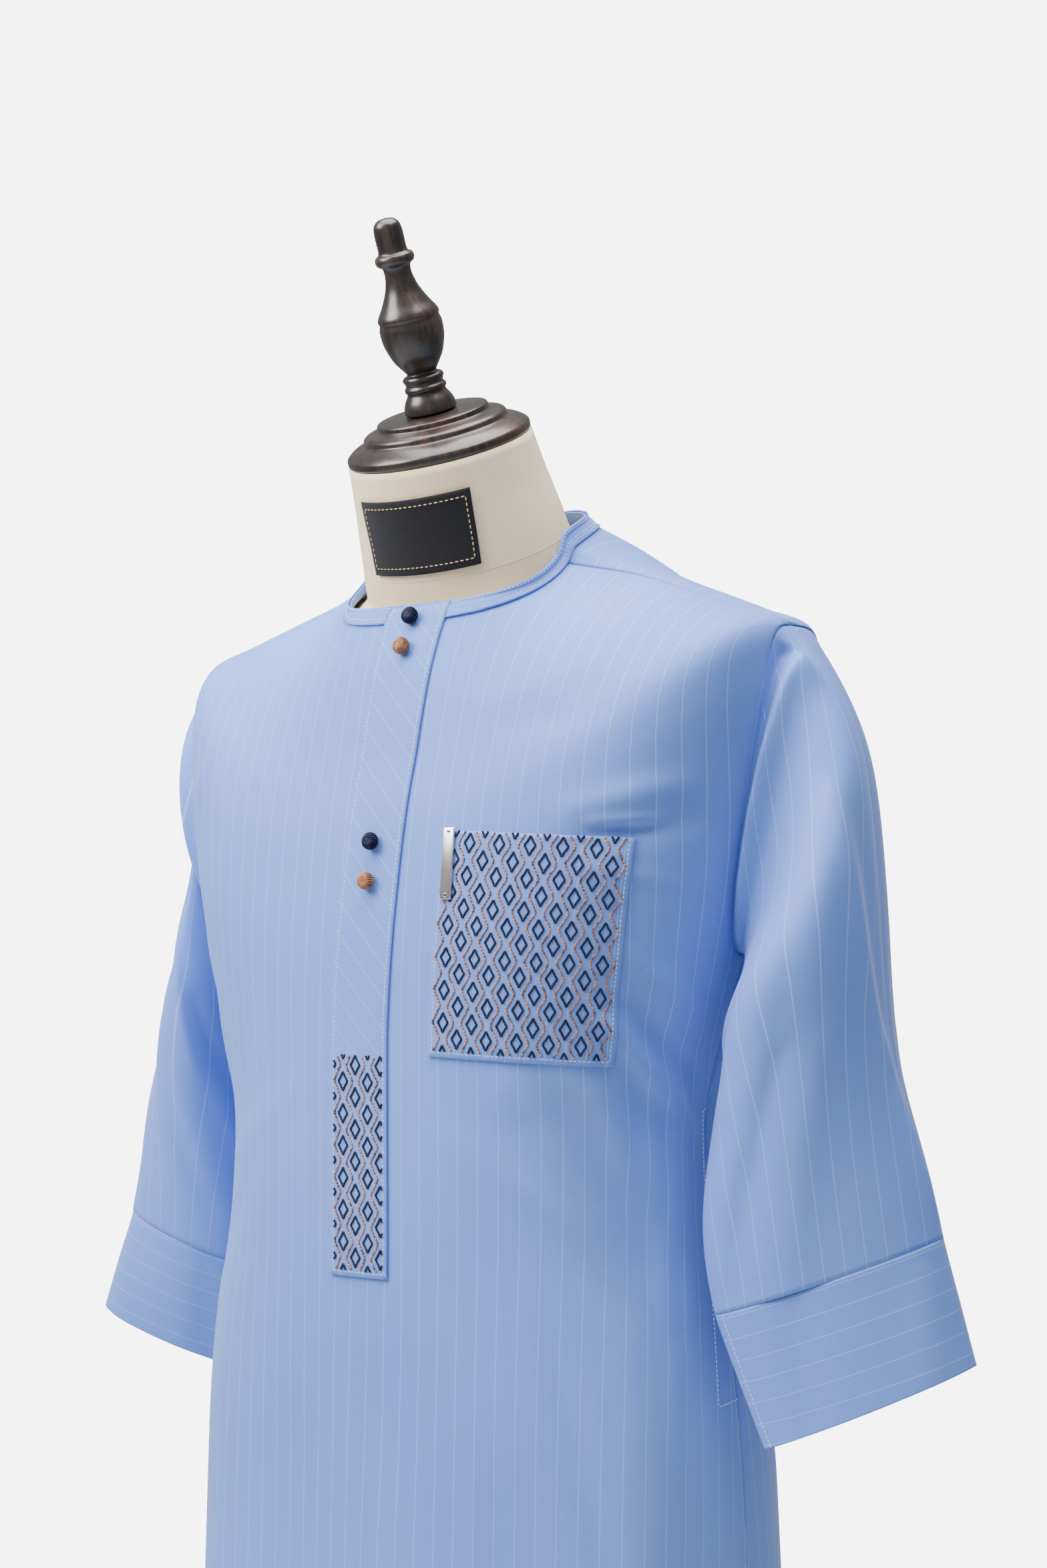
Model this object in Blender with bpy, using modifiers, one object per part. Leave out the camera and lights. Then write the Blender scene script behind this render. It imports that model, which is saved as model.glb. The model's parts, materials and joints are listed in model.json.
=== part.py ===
"""A kaftan on a limbless dress form, at its real size.

Metres, +Z up. The front faces -Y and the wearer's left is +X. The origin is the middle of the
stand's foot, on the floor. Every piece of cloth is a loft through the rows of a table, given its
thickness by a Solidify modifier, and what is sewn on a panel is made from that panel's points.
"""

import math

import bmesh
import bpy
import numpy as np
from mathutils import Matrix, Vector

# Cloth
CLOTH = 0.0013
SEAM = 0.0003
SHOULDER_SEAM = 0.0008
ARMHOLE_SEAM = 0.0013
CUFF_SEAM = 0.0006
TRIM = 0.0012
PATCH = 0.0010

# The body: rows run from the neckline down to the hem. A row is a ring with its own height and
# depth at the front, the side and the back. Squareness 2 is an ellipse, rise shapes the way up from
# the front to the side, seam is the angle of the seam from the front in degrees, and ease is the
# room between the cloth and the form.
BODY_COLUMNS = (
    "front_z", "side_z", "back_z", "half_width", "front_y", "mid_y", "back_y",
    "squareness", "rise", "seam", "ease",
)
BODY_ROWS = (
    (1.4750, 1.519, 1.546, 0.0817, -0.0840, -0.020, 0.046, 2.50, 0.46, 88, 0.0030),
    (1.4630, 1.511, 1.535, 0.0865, -0.0915, -0.014, 0.058, 2.38, 0.54, 88, 0.0030),
    (1.4330, 1.500, 1.512, 0.1260, -0.1020, 0.010, 0.078, 2.25, 1.0, 86, 0.0030),
    (1.4020, 1.485, 1.482, 0.1660, -0.1085, 0.026, 0.095, 2.40, 1.7, 84, 0.0030),
    (1.3730, 1.470, 1.450, 0.2050, -0.1135, 0.031, 0.106, 2.60, 2.0, 86, 0.0032),
    (1.3460, 1.457, 1.416, 0.2350, -0.1195, 0.034, 0.113, 2.70, 2.2, 89, 0.0040),
    (1.3200, 1.425, 1.385, 0.2410, -0.1240, 0.030, 0.118, 2.70, 2.2, 90, 0.0100),
    (1.2880, 1.372, 1.345, 0.2370, -0.1280, 0.024, 0.121, 2.60, 2.0, 90, 0.0140),
    (1.2540, 1.308, 1.292, 0.2270, -0.1315, 0.014, 0.122, 2.50, 2.0, 90, 0.0150),
    (1.2180, 1.242, 1.235, 0.2120, -0.1335, 0.005, 0.122, 2.40, 2.0, 90, 0.0150),
    (1.1750, 1.182, 1.180, 0.1955, -0.1340, 0.001, 0.121, 2.35, 2.0, 90, 0.0150),
    (1.1380, 1.140, 1.139, 0.1855, -0.1340, 0.000, 0.120, 2.30, 2.0, 90, 0.0160),
    (1.0980, 1.098, 1.098, 0.1860, -0.1338, 0.000, 0.122, 2.30, 2.0, 90, 0.0180),
    (1.0500, 1.050, 1.050, 0.1915, -0.1335, 0.000, 0.126, 2.30, 2.0, 90, 0.0200),
    (1.0000, 1.000, 1.000, 0.2030, -0.1340, 0.000, 0.131, 2.30, 2.0, 90, 0.0210),
    (0.9300, 0.930, 0.930, 0.2120, -0.1355, 0.000, 0.136, 2.30, 2.0, 90, 0.0220),
    (0.8500, 0.850, 0.850, 0.2170, -0.1380, 0.000, 0.140, 2.25, 2.0, 90, 0.0250),
    (0.7300, 0.730, 0.730, 0.2220, -0.1420, 0.000, 0.145, 2.20, 2.0, 90, 0.0300),
    (0.6100, 0.610, 0.610, 0.2260, -0.1460, 0.000, 0.150, 2.20, 2.0, 90, 0.0300),
    (0.4900, 0.490, 0.490, 0.2300, -0.1500, 0.000, 0.154, 2.20, 2.0, 90, 0.0300),
)
SHOULDER_RISE_LEFT = 0.018
SHOULDER_DROP_RIGHT = 0.055
SHOULDER_TILT_ENDS = 10.0
SHOULDER_ROW = 5.0
UNDERARM_ROW = 9.0
HIP_ROW = 16.4
HEM_ROW = len(BODY_ROWS) - 1.0
ARMHOLE_FRONT = math.radians(11)
ARMHOLE_BACK = math.radians(31)
ARMHOLE_STEPS = 11
BAND_ROW = 1.0

# Folds of the panels, each a soft ridge (or, below zero, a trough) from one place to the other:
# girth and height of both its ends, spread and height of the fold. Girth is the distance round
# from the middle of the front or back, to the wearer's left if positive.
FRONT_FOLDS = (
    (0.165, 1.338, 0.235, 1.352, 0.010, 0.0035),
    (0.175, 1.318, 0.240, 1.330, 0.009, -0.0030),
    (0.165, 1.165, 0.235, 1.060, 0.014, 0.0040),
    (0.150, 1.130, 0.225, 1.010, 0.014, -0.0035),
    (0.225, 1.200, 0.232, 1.020, 0.014, 0.0050),
    (0.255, 1.180, 0.250, 0.960, 0.013, -0.0045),
    (-0.180, 1.180, -0.225, 1.030, 0.015, 0.0040),
    (-0.245, 1.170, -0.235, 0.980, 0.014, -0.0040),
    (0.205, 0.980, 0.215, 0.510, 0.026, 0.0060),
    (0.120, 0.880, 0.115, 0.490, 0.028, -0.0050),
    (0.030, 0.860, 0.035, 0.490, 0.030, 0.0050),
    (-0.060, 0.900, -0.065, 0.490, 0.028, -0.0045),
    (-0.140, 0.960, -0.150, 0.490, 0.028, 0.0055),
    (-0.225, 0.900, -0.230, 0.490, 0.024, -0.0050),
)
BACK_FOLDS = (
    (0.055, 1.535, 0.140, 1.505, 0.012, 0.0060),
    (0.030, 1.500, 0.110, 1.475, 0.009, -0.0014),
    (-0.060, 1.505, -0.130, 1.485, 0.009, 0.0020),
    (0.150, 1.300, 0.215, 1.180, 0.018, 0.0045),
    (-0.150, 1.290, -0.220, 1.160, 0.018, 0.0045),
    (0.190, 1.160, 0.200, 0.940, 0.016, -0.0045),
    (-0.195, 1.150, -0.205, 0.950, 0.016, -0.0045),
    (0.020, 1.220, 0.060, 1.020, 0.024, 0.0040),
    (-0.060, 1.200, -0.040, 0.980, 0.024, -0.0035),
    (0.190, 0.900, 0.195, 0.490, 0.026, 0.0055),
    (0.105, 0.860, 0.105, 0.490, 0.026, -0.0050),
    (0.020, 0.900, 0.018, 0.490, 0.028, 0.0055),
    (-0.075, 0.880, -0.080, 0.490, 0.028, -0.0045),
    (-0.165, 0.900, -0.160, 0.490, 0.026, 0.0055),
)

# The sleeves, as rings from the armhole down to the hem of the cuff, both written for +X. Each ring
# goes through an outer and an inner point. Front and back are its bulges either way, and settle is
# how far it has left the armhole's own shape. The right one hangs closer to the side.
SLEEVE_COLUMNS = (
    "outer_x", "outer_y", "outer_z", "inner_x", "inner_y", "inner_z", "front", "back", "settle",
)
LEFT_SLEEVE_ROWS = (
    (0.2510, 0.034, 1.4420, 0.2240, 0.000, 1.2380, 0.048, 0.052, 0.35),
    (0.2650, 0.034, 1.4220, 0.2250, -0.018, 1.2260, 0.050, 0.055, 0.70),
    (0.2830, 0.033, 1.3860, 0.2240, -0.028, 1.2100, 0.052, 0.056, 1.00),
    (0.2930, 0.032, 1.3300, 0.2220, -0.031, 1.1900, 0.053, 0.056, 1.00),
    (0.2990, 0.031, 1.2660, 0.2180, -0.031, 1.1650, 0.051, 0.055, 1.00),
    (0.3040, 0.030, 1.2100, 0.2130, -0.033, 1.1360, 0.047, 0.052, 1.00),
    (0.3140, 0.030, 1.1640, 0.2080, -0.035, 1.1020, 0.043, 0.048, 1.00),
    (0.3270, 0.030, 1.1250, 0.2055, -0.036, 1.0720, 0.038, 0.043, 1.00),
    (0.3370, 0.030, 1.0930, 0.2085, -0.036, 1.0420, 0.035, 0.038, 1.00),
    (0.3440, 0.030, 1.0650, 0.2150, -0.035, 1.0130, 0.032, 0.034, 1.00),
    (0.3560, 0.030, 1.0260, 0.2310, -0.032, 0.9720, 0.029, 0.030, 1.00),
    (0.3680, 0.030, 0.9870, 0.2480, -0.028, 0.9300, 0.026, 0.026, 1.00),
)
RIGHT_SLEEVE_ROWS = (
    (0.2690, 0.034, 1.4370, 0.2240, 0.014, 1.2390, 0.058, 0.051, 0.65),
    (0.2770, 0.034, 1.4270, 0.2250, 0.020, 1.2350, 0.058, 0.052, 0.90),
    (0.2590, 0.034, 1.3840, 0.2260, 0.025, 1.2310, 0.046, 0.054, 1.00),
    (0.2670, 0.033, 1.2980, 0.2280, 0.030, 1.2220, 0.062, 0.054, 1.00),
    (0.2790, 0.030, 1.2480, 0.2300, 0.034, 1.2020, 0.074, 0.052, 1.00),
    (0.2960, 0.026, 1.2080, 0.2310, 0.038, 1.1600, 0.080, 0.050, 1.00),
    (0.3110, 0.022, 1.1600, 0.2310, 0.042, 1.1210, 0.075, 0.047, 1.00),
    (0.3230, 0.018, 1.1150, 0.2310, 0.045, 1.0790, 0.064, 0.043, 1.00),
    (0.3330, 0.014, 1.0760, 0.2310, 0.047, 1.0380, 0.052, 0.038, 1.00),
    (0.3420, 0.011, 1.0400, 0.2320, 0.048, 0.9980, 0.042, 0.034, 1.00),
    (0.3570, 0.009, 1.0010, 0.2410, 0.049, 0.9590, 0.036, 0.030, 1.00),
    (0.3700, 0.007, 0.9640, 0.2510, 0.050, 0.9190, 0.030, 0.026, 1.00),
)
CUFF_ROW = 9.0
SLEEVE_END = len(LEFT_SLEEVE_ROWS) - 1.0
SLEEVE_SQUARENESS = 1.75
ROLL_OUT = 0.0045

# The pieces sewn on the front, by girth from the middle and height
PLACKET_WIDTH = 0.0480
PLACKET_TOP_SHIFT = 0.012
PLACKET_STRAIGHT_Z = 1.190
PLACKET_BOTTOM_Z = 1.030
POCKET_INNER = 0.0620
POCKET_TOP_WIDTH = 0.1345
POCKET_BOTTOM_WIDTH = 0.1245
POCKET_TOP_Z = 1.3240
POCKET_HEIGHT = 0.1470
POCKET_TURN = math.radians(2.2)
BAR_SIZE = (0.0085, 0.0020, 0.0470)
BAR_INSET = 0.0027
BAR_RISE = 0.0015
BUTTON_DIAMETER = 0.0115
BUTTON_FLATNESS = 0.82
BUTTON_HEIGHTS = (1.4650, 1.4450, 1.3160, 1.2900)

# The form's neck, cap and finial
NECK_COLUMNS = ("y", "z", "half_width", "half_depth", "lean")
NECK_ROWS = (
    (-0.0486, 1.5860, 0.0643, 0.0640, 22),
    (-0.0382, 1.5620, 0.0680, 0.0650, 22),
    (-0.0260, 1.5340, 0.0745, 0.0650, 23),
    (-0.0170, 1.5080, 0.0785, 0.0650, 27),
    (-0.0180, 1.4930, 0.0785, 0.0640, 33),
)
CAP_PROFILE = (
    (0.0000, 0.0250), (0.0375, 0.0250), (0.0390, 0.0235), (0.0390, 0.0205), (0.0420, 0.0195),
    (0.0475, 0.0185), (0.0500, 0.0165), (0.0505, 0.0130), (0.0560, 0.0115), (0.0605, 0.0090),
    (0.0640, 0.0060), (0.0640, 0.0020), (0.0628, 0.0003), (0.0000, 0.0003),
)
FINIAL_PROFILE = (
    (0.0000, 0.1345), (0.0060, 0.1335), (0.0092, 0.1300), (0.0100, 0.1240), (0.0097, 0.1110),
    (0.0128, 0.1095), (0.0138, 0.1065), (0.0128, 0.1035), (0.0094, 0.1015), (0.0092, 0.0950),
    (0.0115, 0.0860), (0.0165, 0.0760), (0.0205, 0.0700), (0.0215, 0.0670), (0.0205, 0.0650),
    (0.0220, 0.0600), (0.0212, 0.0500), (0.0175, 0.0390), (0.0120, 0.0310), (0.0098, 0.0280),
    (0.0135, 0.0265), (0.0145, 0.0245), (0.0135, 0.0225), (0.0128, 0.0205), (0.0145, 0.0185),
    (0.0145, 0.0165), (0.0130, 0.0150), (0.0165, 0.0095), (0.0180, 0.0050), (0.0180, 0.0003),
    (0.0000, 0.0003),
)
LABEL_WIDTH = 0.0870
LABEL_HEIGHT = 0.0440
LABEL_TURN = 0.20
LABEL_SLANT = 0.060
LABEL_DROP = 0.0402
POLE_RADIUS = 0.0160
BASE_PROFILE = (
    (0.0000, 0.0560), (0.0220, 0.0560), (0.0235, 0.0545), (0.0250, 0.0420), (0.0320, 0.0320),
    (0.0500, 0.0270), (0.1500, 0.0210), (0.1680, 0.0170), (0.1750, 0.0100), (0.1750, 0.0020),
    (0.1730, 0.0000), (0.0000, 0.0000),
)

# How finely the lofts are divided
PANEL_COLUMNS = 24
SKIRT_STEPS = 13
FORM_COLUMNS = 32
TURNED_STEPS = 24

# Finishes: colour, roughness and metallic
FINISHES = {
    "suiting": ((0.33, 0.45, 0.72), 0.72, 0.0),
    "embroidered": ((0.30, 0.36, 0.58), 0.80, 0.0),
    "navy_thread": ((0.010, 0.016, 0.060), 0.60, 0.0),
    "copper_thread": ((0.36, 0.17, 0.09), 0.50, 0.0),
    "linen": ((0.83, 0.72, 0.58), 0.85, 0.0),
    "label": ((0.012, 0.012, 0.014), 0.80, 0.0),
    "dark_wood": ((0.050, 0.022, 0.014), 0.35, 0.0),
    "silver": ((0.70, 0.66, 0.64), 0.28, 1.0),
    "black_metal": ((0.020, 0.020, 0.022), 0.40, 0.6),
}


def smooth_rows(rows, place):
    """Each column of a table at fractional rows, along a Catmull-Rom curve."""
    rows = np.asarray(rows)
    place = np.clip(np.asarray(place, float), 0, len(rows) - 1)
    low = np.minimum(place.astype(int), len(rows) - 2)
    part = (place - low)[..., None]
    before = rows[np.maximum(low - 1, 0)]
    start, end = rows[low], rows[low + 1]
    after = rows[np.minimum(low + 2, len(rows) - 1)]
    return start + 0.5 * part * (
        (end - before)
        + part * (2 * before - 5 * start + 4 * end - after
                  + part * (3 * (start - end) + after - before))
    )


def named_rows(columns, rows, place):
    values = smooth_rows(rows, place)
    return {name: values[..., index] for index, name in enumerate(columns)}


def plain_body_point(angle, place):
    """The body's surface without folds. The angle is 0 at the front and positive to the left."""
    row = named_rows(BODY_COLUMNS, BODY_ROWS, place)
    facing = np.cos(angle) >= 0
    bend = 2 / row["squareness"]
    end_y = np.where(facing, row["front_y"], row["back_y"])
    end_z = np.where(facing, row["front_z"], row["back_z"])
    depth = np.abs(np.cos(angle))
    x = row["half_width"] * np.sign(np.sin(angle)) * np.abs(np.sin(angle)) ** bend
    y = row["mid_y"] + (end_y - row["mid_y"]) * depth ** bend
    z = row["side_z"] + (end_z - row["side_z"]) * depth ** row["rise"]
    tilt = np.where(x > 0, SHOULDER_RISE_LEFT, SHOULDER_DROP_RIGHT)
    z = z + tilt * x * np.clip(1 - np.asarray(place) / SHOULDER_TILT_ENDS, 0, 1)
    return np.stack([x, y, z], axis=-1)


def unit(vectors):
    return vectors / np.maximum(np.linalg.norm(vectors, axis=-1, keepdims=True), 1e-12)


def body_normal(angle, place):
    step = 0.01
    round_it = plain_body_point(angle + step, place) - plain_body_point(angle - step, place)
    down_it = (plain_body_point(angle, np.minimum(place + step, HEM_ROW))
               - plain_body_point(angle, np.maximum(place - step, 0)))
    return unit(np.cross(down_it, round_it))


SAMPLE_ANGLES = np.linspace(0, math.pi / 2, 91)


def quarter_lengths(place):
    """Distance round a row from the middle of the front, at each sample angle."""
    points = plain_body_point(SAMPLE_ANGLES, np.full(SAMPLE_ANGLES.shape, float(place)))
    steps = np.linalg.norm(np.diff(points, axis=0), axis=1)
    return np.concatenate([[0], np.cumsum(steps)])


GIRTH_ROWS = np.array([quarter_lengths(place) for place in range(len(BODY_ROWS))])


def girth_at(angle, place):
    """Distance round from the middle of the front or back, positive to the wearer's left."""
    angle = np.mod(angle + math.pi, 2 * math.pi) - math.pi
    turned = np.where(np.cos(angle) >= 0, np.abs(angle), math.pi - np.abs(angle))
    lengths = smooth_rows(GIRTH_ROWS, place)
    spot = np.clip(turned / SAMPLE_ANGLES[1], 0, len(SAMPLE_ANGLES) - 1.001)
    low = spot.astype(int)
    near = np.take_along_axis(lengths, low[..., None], -1)[..., 0]
    far = np.take_along_axis(lengths, low[..., None] + 1, -1)[..., 0]
    return np.sign(angle) * (near + (far - near) * (spot - low))


def fold_height(girth, z, folds):
    """Sum of the soft ridges and troughs at a place on a panel."""
    total = np.zeros(np.shape(girth))
    for girth_a, z_a, girth_b, z_b, spread, height in folds:
        run = np.array([girth_b - girth_a, z_b - z_a])
        reach = np.hypot(*run)
        along = ((girth - girth_a) * run[0] + (z - z_a) * run[1]) / reach ** 2
        beside = ((girth - girth_a) * run[1] - (z - z_a) * run[0]) / reach
        beyond = np.maximum(np.maximum(-along, along - 1), 0) * reach
        middle = np.clip(along, 0, 1)
        swell = 0.55 + 0.45 * np.sin(math.pi * middle)
        total += height * swell * np.exp(-(beside / spread) ** 2 - (beyond / (1.6 * spread)) ** 2)
    return total


def body_point(angle, place, lift=0.0):
    """A point of the folded cloth, moved out from it by the lift."""
    angle, place = np.broadcast_arrays(np.asarray(angle, float), np.asarray(place, float))
    plain = plain_body_point(angle, place)
    girth = girth_at(angle, place)
    fold = np.where(
        np.cos(angle) >= 0,
        fold_height(girth, plain[..., 2], FRONT_FOLDS),
        fold_height(girth, plain[..., 2], BACK_FOLDS),
    )
    side = np.cos(angle) ** 2
    fold *= side / (side + 0.03)
    return plain + body_normal(angle, place) * (fold + lift)[..., None]


def seam_angle(place):
    return np.radians(named_rows(BODY_COLUMNS, BODY_ROWS, place)["seam"])


def armhole_bulge(place):
    """0 at the shoulder tip and at the underarm, 1 half way down the armhole."""
    down = (np.asarray(place, float) - SHOULDER_ROW) / (UNDERARM_ROW - SHOULDER_ROW)
    return np.where((down > 0) & (down < 1), np.sin(np.arccos(np.clip(1 - 2 * down, -1, 1))), 0)


def armhole_places():
    turn = np.linspace(0, math.pi, ARMHOLE_STEPS)
    return SHOULDER_ROW + (UNDERARM_ROW - SHOULDER_ROW) * (1 - np.cos(turn)) / 2


def panel_places():
    """The rows of a panel's grid, with the armhole's own rows among them."""
    yoke = np.array([0, 0.5, 1, 1.6, 2.3, 3, 3.7, 4.4])
    skirt = np.linspace(UNDERARM_ROW, HEM_ROW, SKIRT_STEPS + 1)[1:]
    return np.concatenate([yoke, armhole_places(), skirt])


def front_edge(place):
    """Angle of the front panel's edge: the shoulder seam, then the armhole, then the side seam."""
    return seam_angle(place) - ARMHOLE_FRONT * armhole_bulge(place)


def back_edge(place):
    return seam_angle(place) + ARMHOLE_BACK * armhole_bulge(place)


def grid_faces(rows, columns, closed=False):
    """Triangles of a grid of points, a closed one joining its last column to its first."""
    faces = []
    for row in range(rows - 1):
        for col in range(columns if closed else columns - 1):
            beside = (col + 1) % columns
            here, below = row * columns, (row + 1) * columns
            faces.append((here + col, below + col, below + beside))
            faces.append((here + col, below + beside, here + beside))
    return faces


def add_mesh(name, points, faces, finish, place_in):
    mesh = bpy.data.meshes.new(name)
    mesh.from_pydata([tuple(point) for point in np.reshape(points, (-1, 3))], [], faces)
    mesh.validate()
    made = bpy.data.objects.new(name, mesh)
    place_in.objects.link(made)
    made.data.materials.append(finished(name, finish))
    mesh.shade_smooth()
    return made


def finished(name, finish):
    colour, roughness, metallic = FINISHES[finish]
    material = bpy.data.materials.new(name)
    material.use_nodes = True
    shader = material.node_tree.nodes["Principled BSDF"]
    shader.inputs["Base Color"].default_value = (*colour, 1)
    shader.inputs["Roughness"].default_value = roughness
    shader.inputs["Metallic"].default_value = metallic
    return material


def thicken(made, thickness, outwards):
    """Gives an open surface its thickness, all of it outside or all of it inside."""
    wall = made.modifiers.new("Thickness", "SOLIDIFY")
    wall.thickness = thickness
    wall.offset = 1 if outwards else -1
    wall.use_even_offset = False
    return made


def panel_row(place, side):
    """Points across a panel at one row, going round to the wearer's left from the right edge at
    the front (side 1), and on round the same way at the back (side -1). The armhole draws in the
    outer columns most."""
    across = np.linspace(-1, 1, PANEL_COLUMNS + 1)
    gap = SHOULDER_SEAM if place <= SHOULDER_ROW else SEAM
    clear = gap / 2 / named_rows(BODY_COLUMNS, BODY_ROWS, place)["half_width"]
    edge = front_edge(place) if side > 0 else math.pi - back_edge(place)
    full = seam_angle(place) if side > 0 else math.pi - seam_angle(place)
    if edge > math.pi / 2:
        angles = across * (edge - clear)
    else:
        girths = smooth_rows(GIRTH_ROWS, place)
        reach, whole = np.interp([edge - clear, full], SAMPLE_ANGLES, girths)
        spots = np.abs(across) * whole - np.abs(across) ** 2.5 * (whole - reach)
        angles = np.sign(across) * np.interp(spots, girths, SAMPLE_ANGLES)
    return body_point(angles if side > 0 else angles + math.pi, place)


def add_panel(name, side, place_in):
    points = [panel_row(place, side) for place in panel_places()]
    faces = grid_faces(len(points), PANEL_COLUMNS + 1)
    return thicken(add_mesh(name, points, faces, "suiting", place_in), CLOTH, False)


def armhole_loop(side):
    """The armhole's edge, from the tip down the front and up the back, turned to +X."""
    places = armhole_places()
    front = body_point(side * front_edge(places), places)
    back = body_point(side * back_edge(places), places)
    return np.concatenate([front, back[-2:0:-1]]) * np.array([side, 1, 1])


def armhole_tangent(side):
    """At each point of that loop, the way the cloth runs on past the edge, into the sleeve."""
    places = armhole_places()
    angles = np.concatenate([front_edge(places), back_edge(places)[-2:0:-1]])
    rows = np.concatenate([places, places[-2:0:-1]])
    loop = armhole_loop(side)
    along = unit(np.roll(loop, -1, axis=0) - np.roll(loop, 1, axis=0))
    normal = body_normal(side * angles, rows) * np.array([side, 1, 1])
    return unit(np.cross(normal, along))


def sleeve_ring(place, side):
    """One ring of a sleeve at +X, turning from the outer side to the front, inside and back."""
    row = named_rows(SLEEVE_COLUMNS, LEFT_SLEEVE_ROWS if side > 0 else RIGHT_SLEEVE_ROWS, place)
    half = np.linspace(0, math.pi, ARMHOLE_STEPS)
    turn = np.concatenate([half, math.pi + half[1:-1]])
    outer = np.array([row["outer_x"], row["outer_y"], row["outer_z"]])
    inner = np.array([row["inner_x"], row["inner_y"], row["inner_z"]])
    forward = unit(np.array([outer[1] - inner[1], inner[0] - outer[0], 0])) * row["front"]
    backward = np.array([0, row["back"], 0])
    bulge = (np.abs(np.sin(turn)) ** (2 / SLEEVE_SQUARENESS))[:, None]
    ring = (outer + inner) / 2 + (outer - inner) / 2 * np.cos(turn)[:, None]
    ring = ring + bulge * np.where(np.sin(turn)[:, None] > 0, forward, backward)
    away = armhole_loop(side) + armhole_tangent(side) * 2 * ROLL_OUT
    return away + (ring - away) * np.clip(row["settle"], 0, 1)


def add_tube(name, rings, side, place_in):
    """A sleeve or a cuff, as an open tube of cloth with its thickness inside."""
    rings = np.array(rings) * np.array([side, 1, 1])
    faces = grid_faces(len(rings), len(rings[0]), closed=True)
    if side > 0:
        faces = [face[::-1] for face in faces]
    return thicken(add_mesh(name, rings, faces, "suiting", place_in), CLOTH, False)


def add_sleeve(name, side, place_in):
    loop, tangent = armhole_loop(side), armhole_tangent(side)
    rings = [loop + tangent * ARMHOLE_SEAM, loop + tangent * ROLL_OUT]
    rings += [sleeve_ring(place, side) for place in np.linspace(0, CUFF_ROW, 13)]
    return add_tube(name, rings, side, place_in)


def add_cuff(name, side, place_in):
    seam = CUFF_SEAM / abs(LEFT_SLEEVE_ROWS[-1][2] - LEFT_SLEEVE_ROWS[-2][2])
    rings = [sleeve_ring(place, side) for place in np.linspace(CUFF_ROW + seam, SLEEVE_END, 4)]
    return add_tube(name, rings, side, place_in)


def section_at(z):
    """Angles, rows and girths of the front along a level line at this height."""
    low = np.zeros(SAMPLE_ANGLES.shape)
    high = np.full(SAMPLE_ANGLES.shape, HEM_ROW)
    for _ in range(30):
        middle = (low + high) / 2
        above = plain_body_point(SAMPLE_ANGLES, middle)[:, 2] > z
        low, high = np.where(above, middle, low), np.where(above, high, middle)
    points = plain_body_point(SAMPLE_ANGLES, low)
    steps = np.linalg.norm(np.diff(points, axis=0), axis=1)
    return low, np.concatenate([[0], np.cumsum(steps)])


def on_front(girth, z, lift):
    """A point on the front panel at a girth from its middle, along a level line."""
    rows, lengths = section_at(z)
    angle = np.interp(abs(girth), lengths, SAMPLE_ANGLES)
    row = np.interp(angle, SAMPLE_ANGLES, rows)
    return body_point(math.copysign(angle, girth), row, lift)


def facets(points, closed=False):
    """A bmesh of a panel's own outer facets, from its rows of points."""
    shape = bmesh.new()
    corners = [shape.verts.new(point) for point in np.reshape(points, (-1, 3))]
    for face in grid_faces(len(points), len(points[0]), closed):
        shape.faces.new([corners[index] for index in face])
    return shape


def cut(shape, point, away, keep_all=False):
    """Cuts the facets by a plane and drops what lies beyond it, on the side it faces."""
    bmesh.ops.bisect_plane(
        shape, geom=shape.verts[:] + shape.edges[:] + shape.faces[:], plane_co=point,
        plane_no=away, clear_outer=not keep_all, dist=0.00001,
    )


def lay_on(name, shape, thickness, finish, place_in):
    """Makes a piece of cut facets, just clear of the panel and with its thickness outside."""
    bmesh.ops.remove_doubles(shape, verts=shape.verts, dist=0.0006)
    bmesh.ops.triangulate(shape, faces=shape.faces)
    shape.normal_update()
    lifted = [vert.co + vert.normal * SEAM for vert in shape.verts]
    for vert, place in zip(shape.verts, lifted):
        vert.co = place
    made = mesh_object(name, shape, finish, place_in)
    made.data.shade_smooth()
    return thicken(made, thickness, True)


def placket_middle(z):
    """The placket leans a little to the wearer's left towards the neckline."""
    neck_z = BODY_ROWS[0][0]
    up = min(max((z - PLACKET_STRAIGHT_Z) / (neck_z - PLACKET_STRAIGHT_Z), 0), 1)
    return PLACKET_TOP_SHIFT * up


def straighten(shape, way):
    """Takes the placket's lean out of the facets (way -1), or puts it back (way 1)."""
    for vert in shape.verts:
        vert.co.x += way * placket_middle(vert.co.z)


def add_placket(place_in):
    shape = facets([panel_row(place, 1) for place in panel_places()])
    straighten(shape, -1)
    for side in (-1, 1):
        cut(shape, (side * PLACKET_WIDTH / 2, 0, 0), (side, 0, 0))
    cut(shape, (0, 0, PLACKET_BOTTOM_Z), (0, 0, -1))
    straighten(shape, 1)
    return lay_on("placket", shape, PATCH, "suiting", place_in)


def add_neck_band(place_in):
    """Runs round the neckline from one edge of the placket to the other."""
    rows = [np.concatenate([panel_row(place, 1), panel_row(place, -1)[1:-1]])
            for place in panel_places() if place <= BAND_ROW]
    shape = facets(rows, closed=True)
    reach = PLACKET_WIDTH / 2 + SEAM
    straighten(shape, -1)
    for side in (-1, 1):
        cut(shape, (side * reach, 0, 0), (side, 0, 0), keep_all=True)
    slot = [face for face in shape.faces
            if abs(face.calc_center_median().x) < reach and face.calc_center_median().y < -0.03]
    bmesh.ops.delete(shape, geom=slot, context="FACES")
    straighten(shape, 1)
    return lay_on("neck_band", shape, PATCH, "suiting", place_in)


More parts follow.
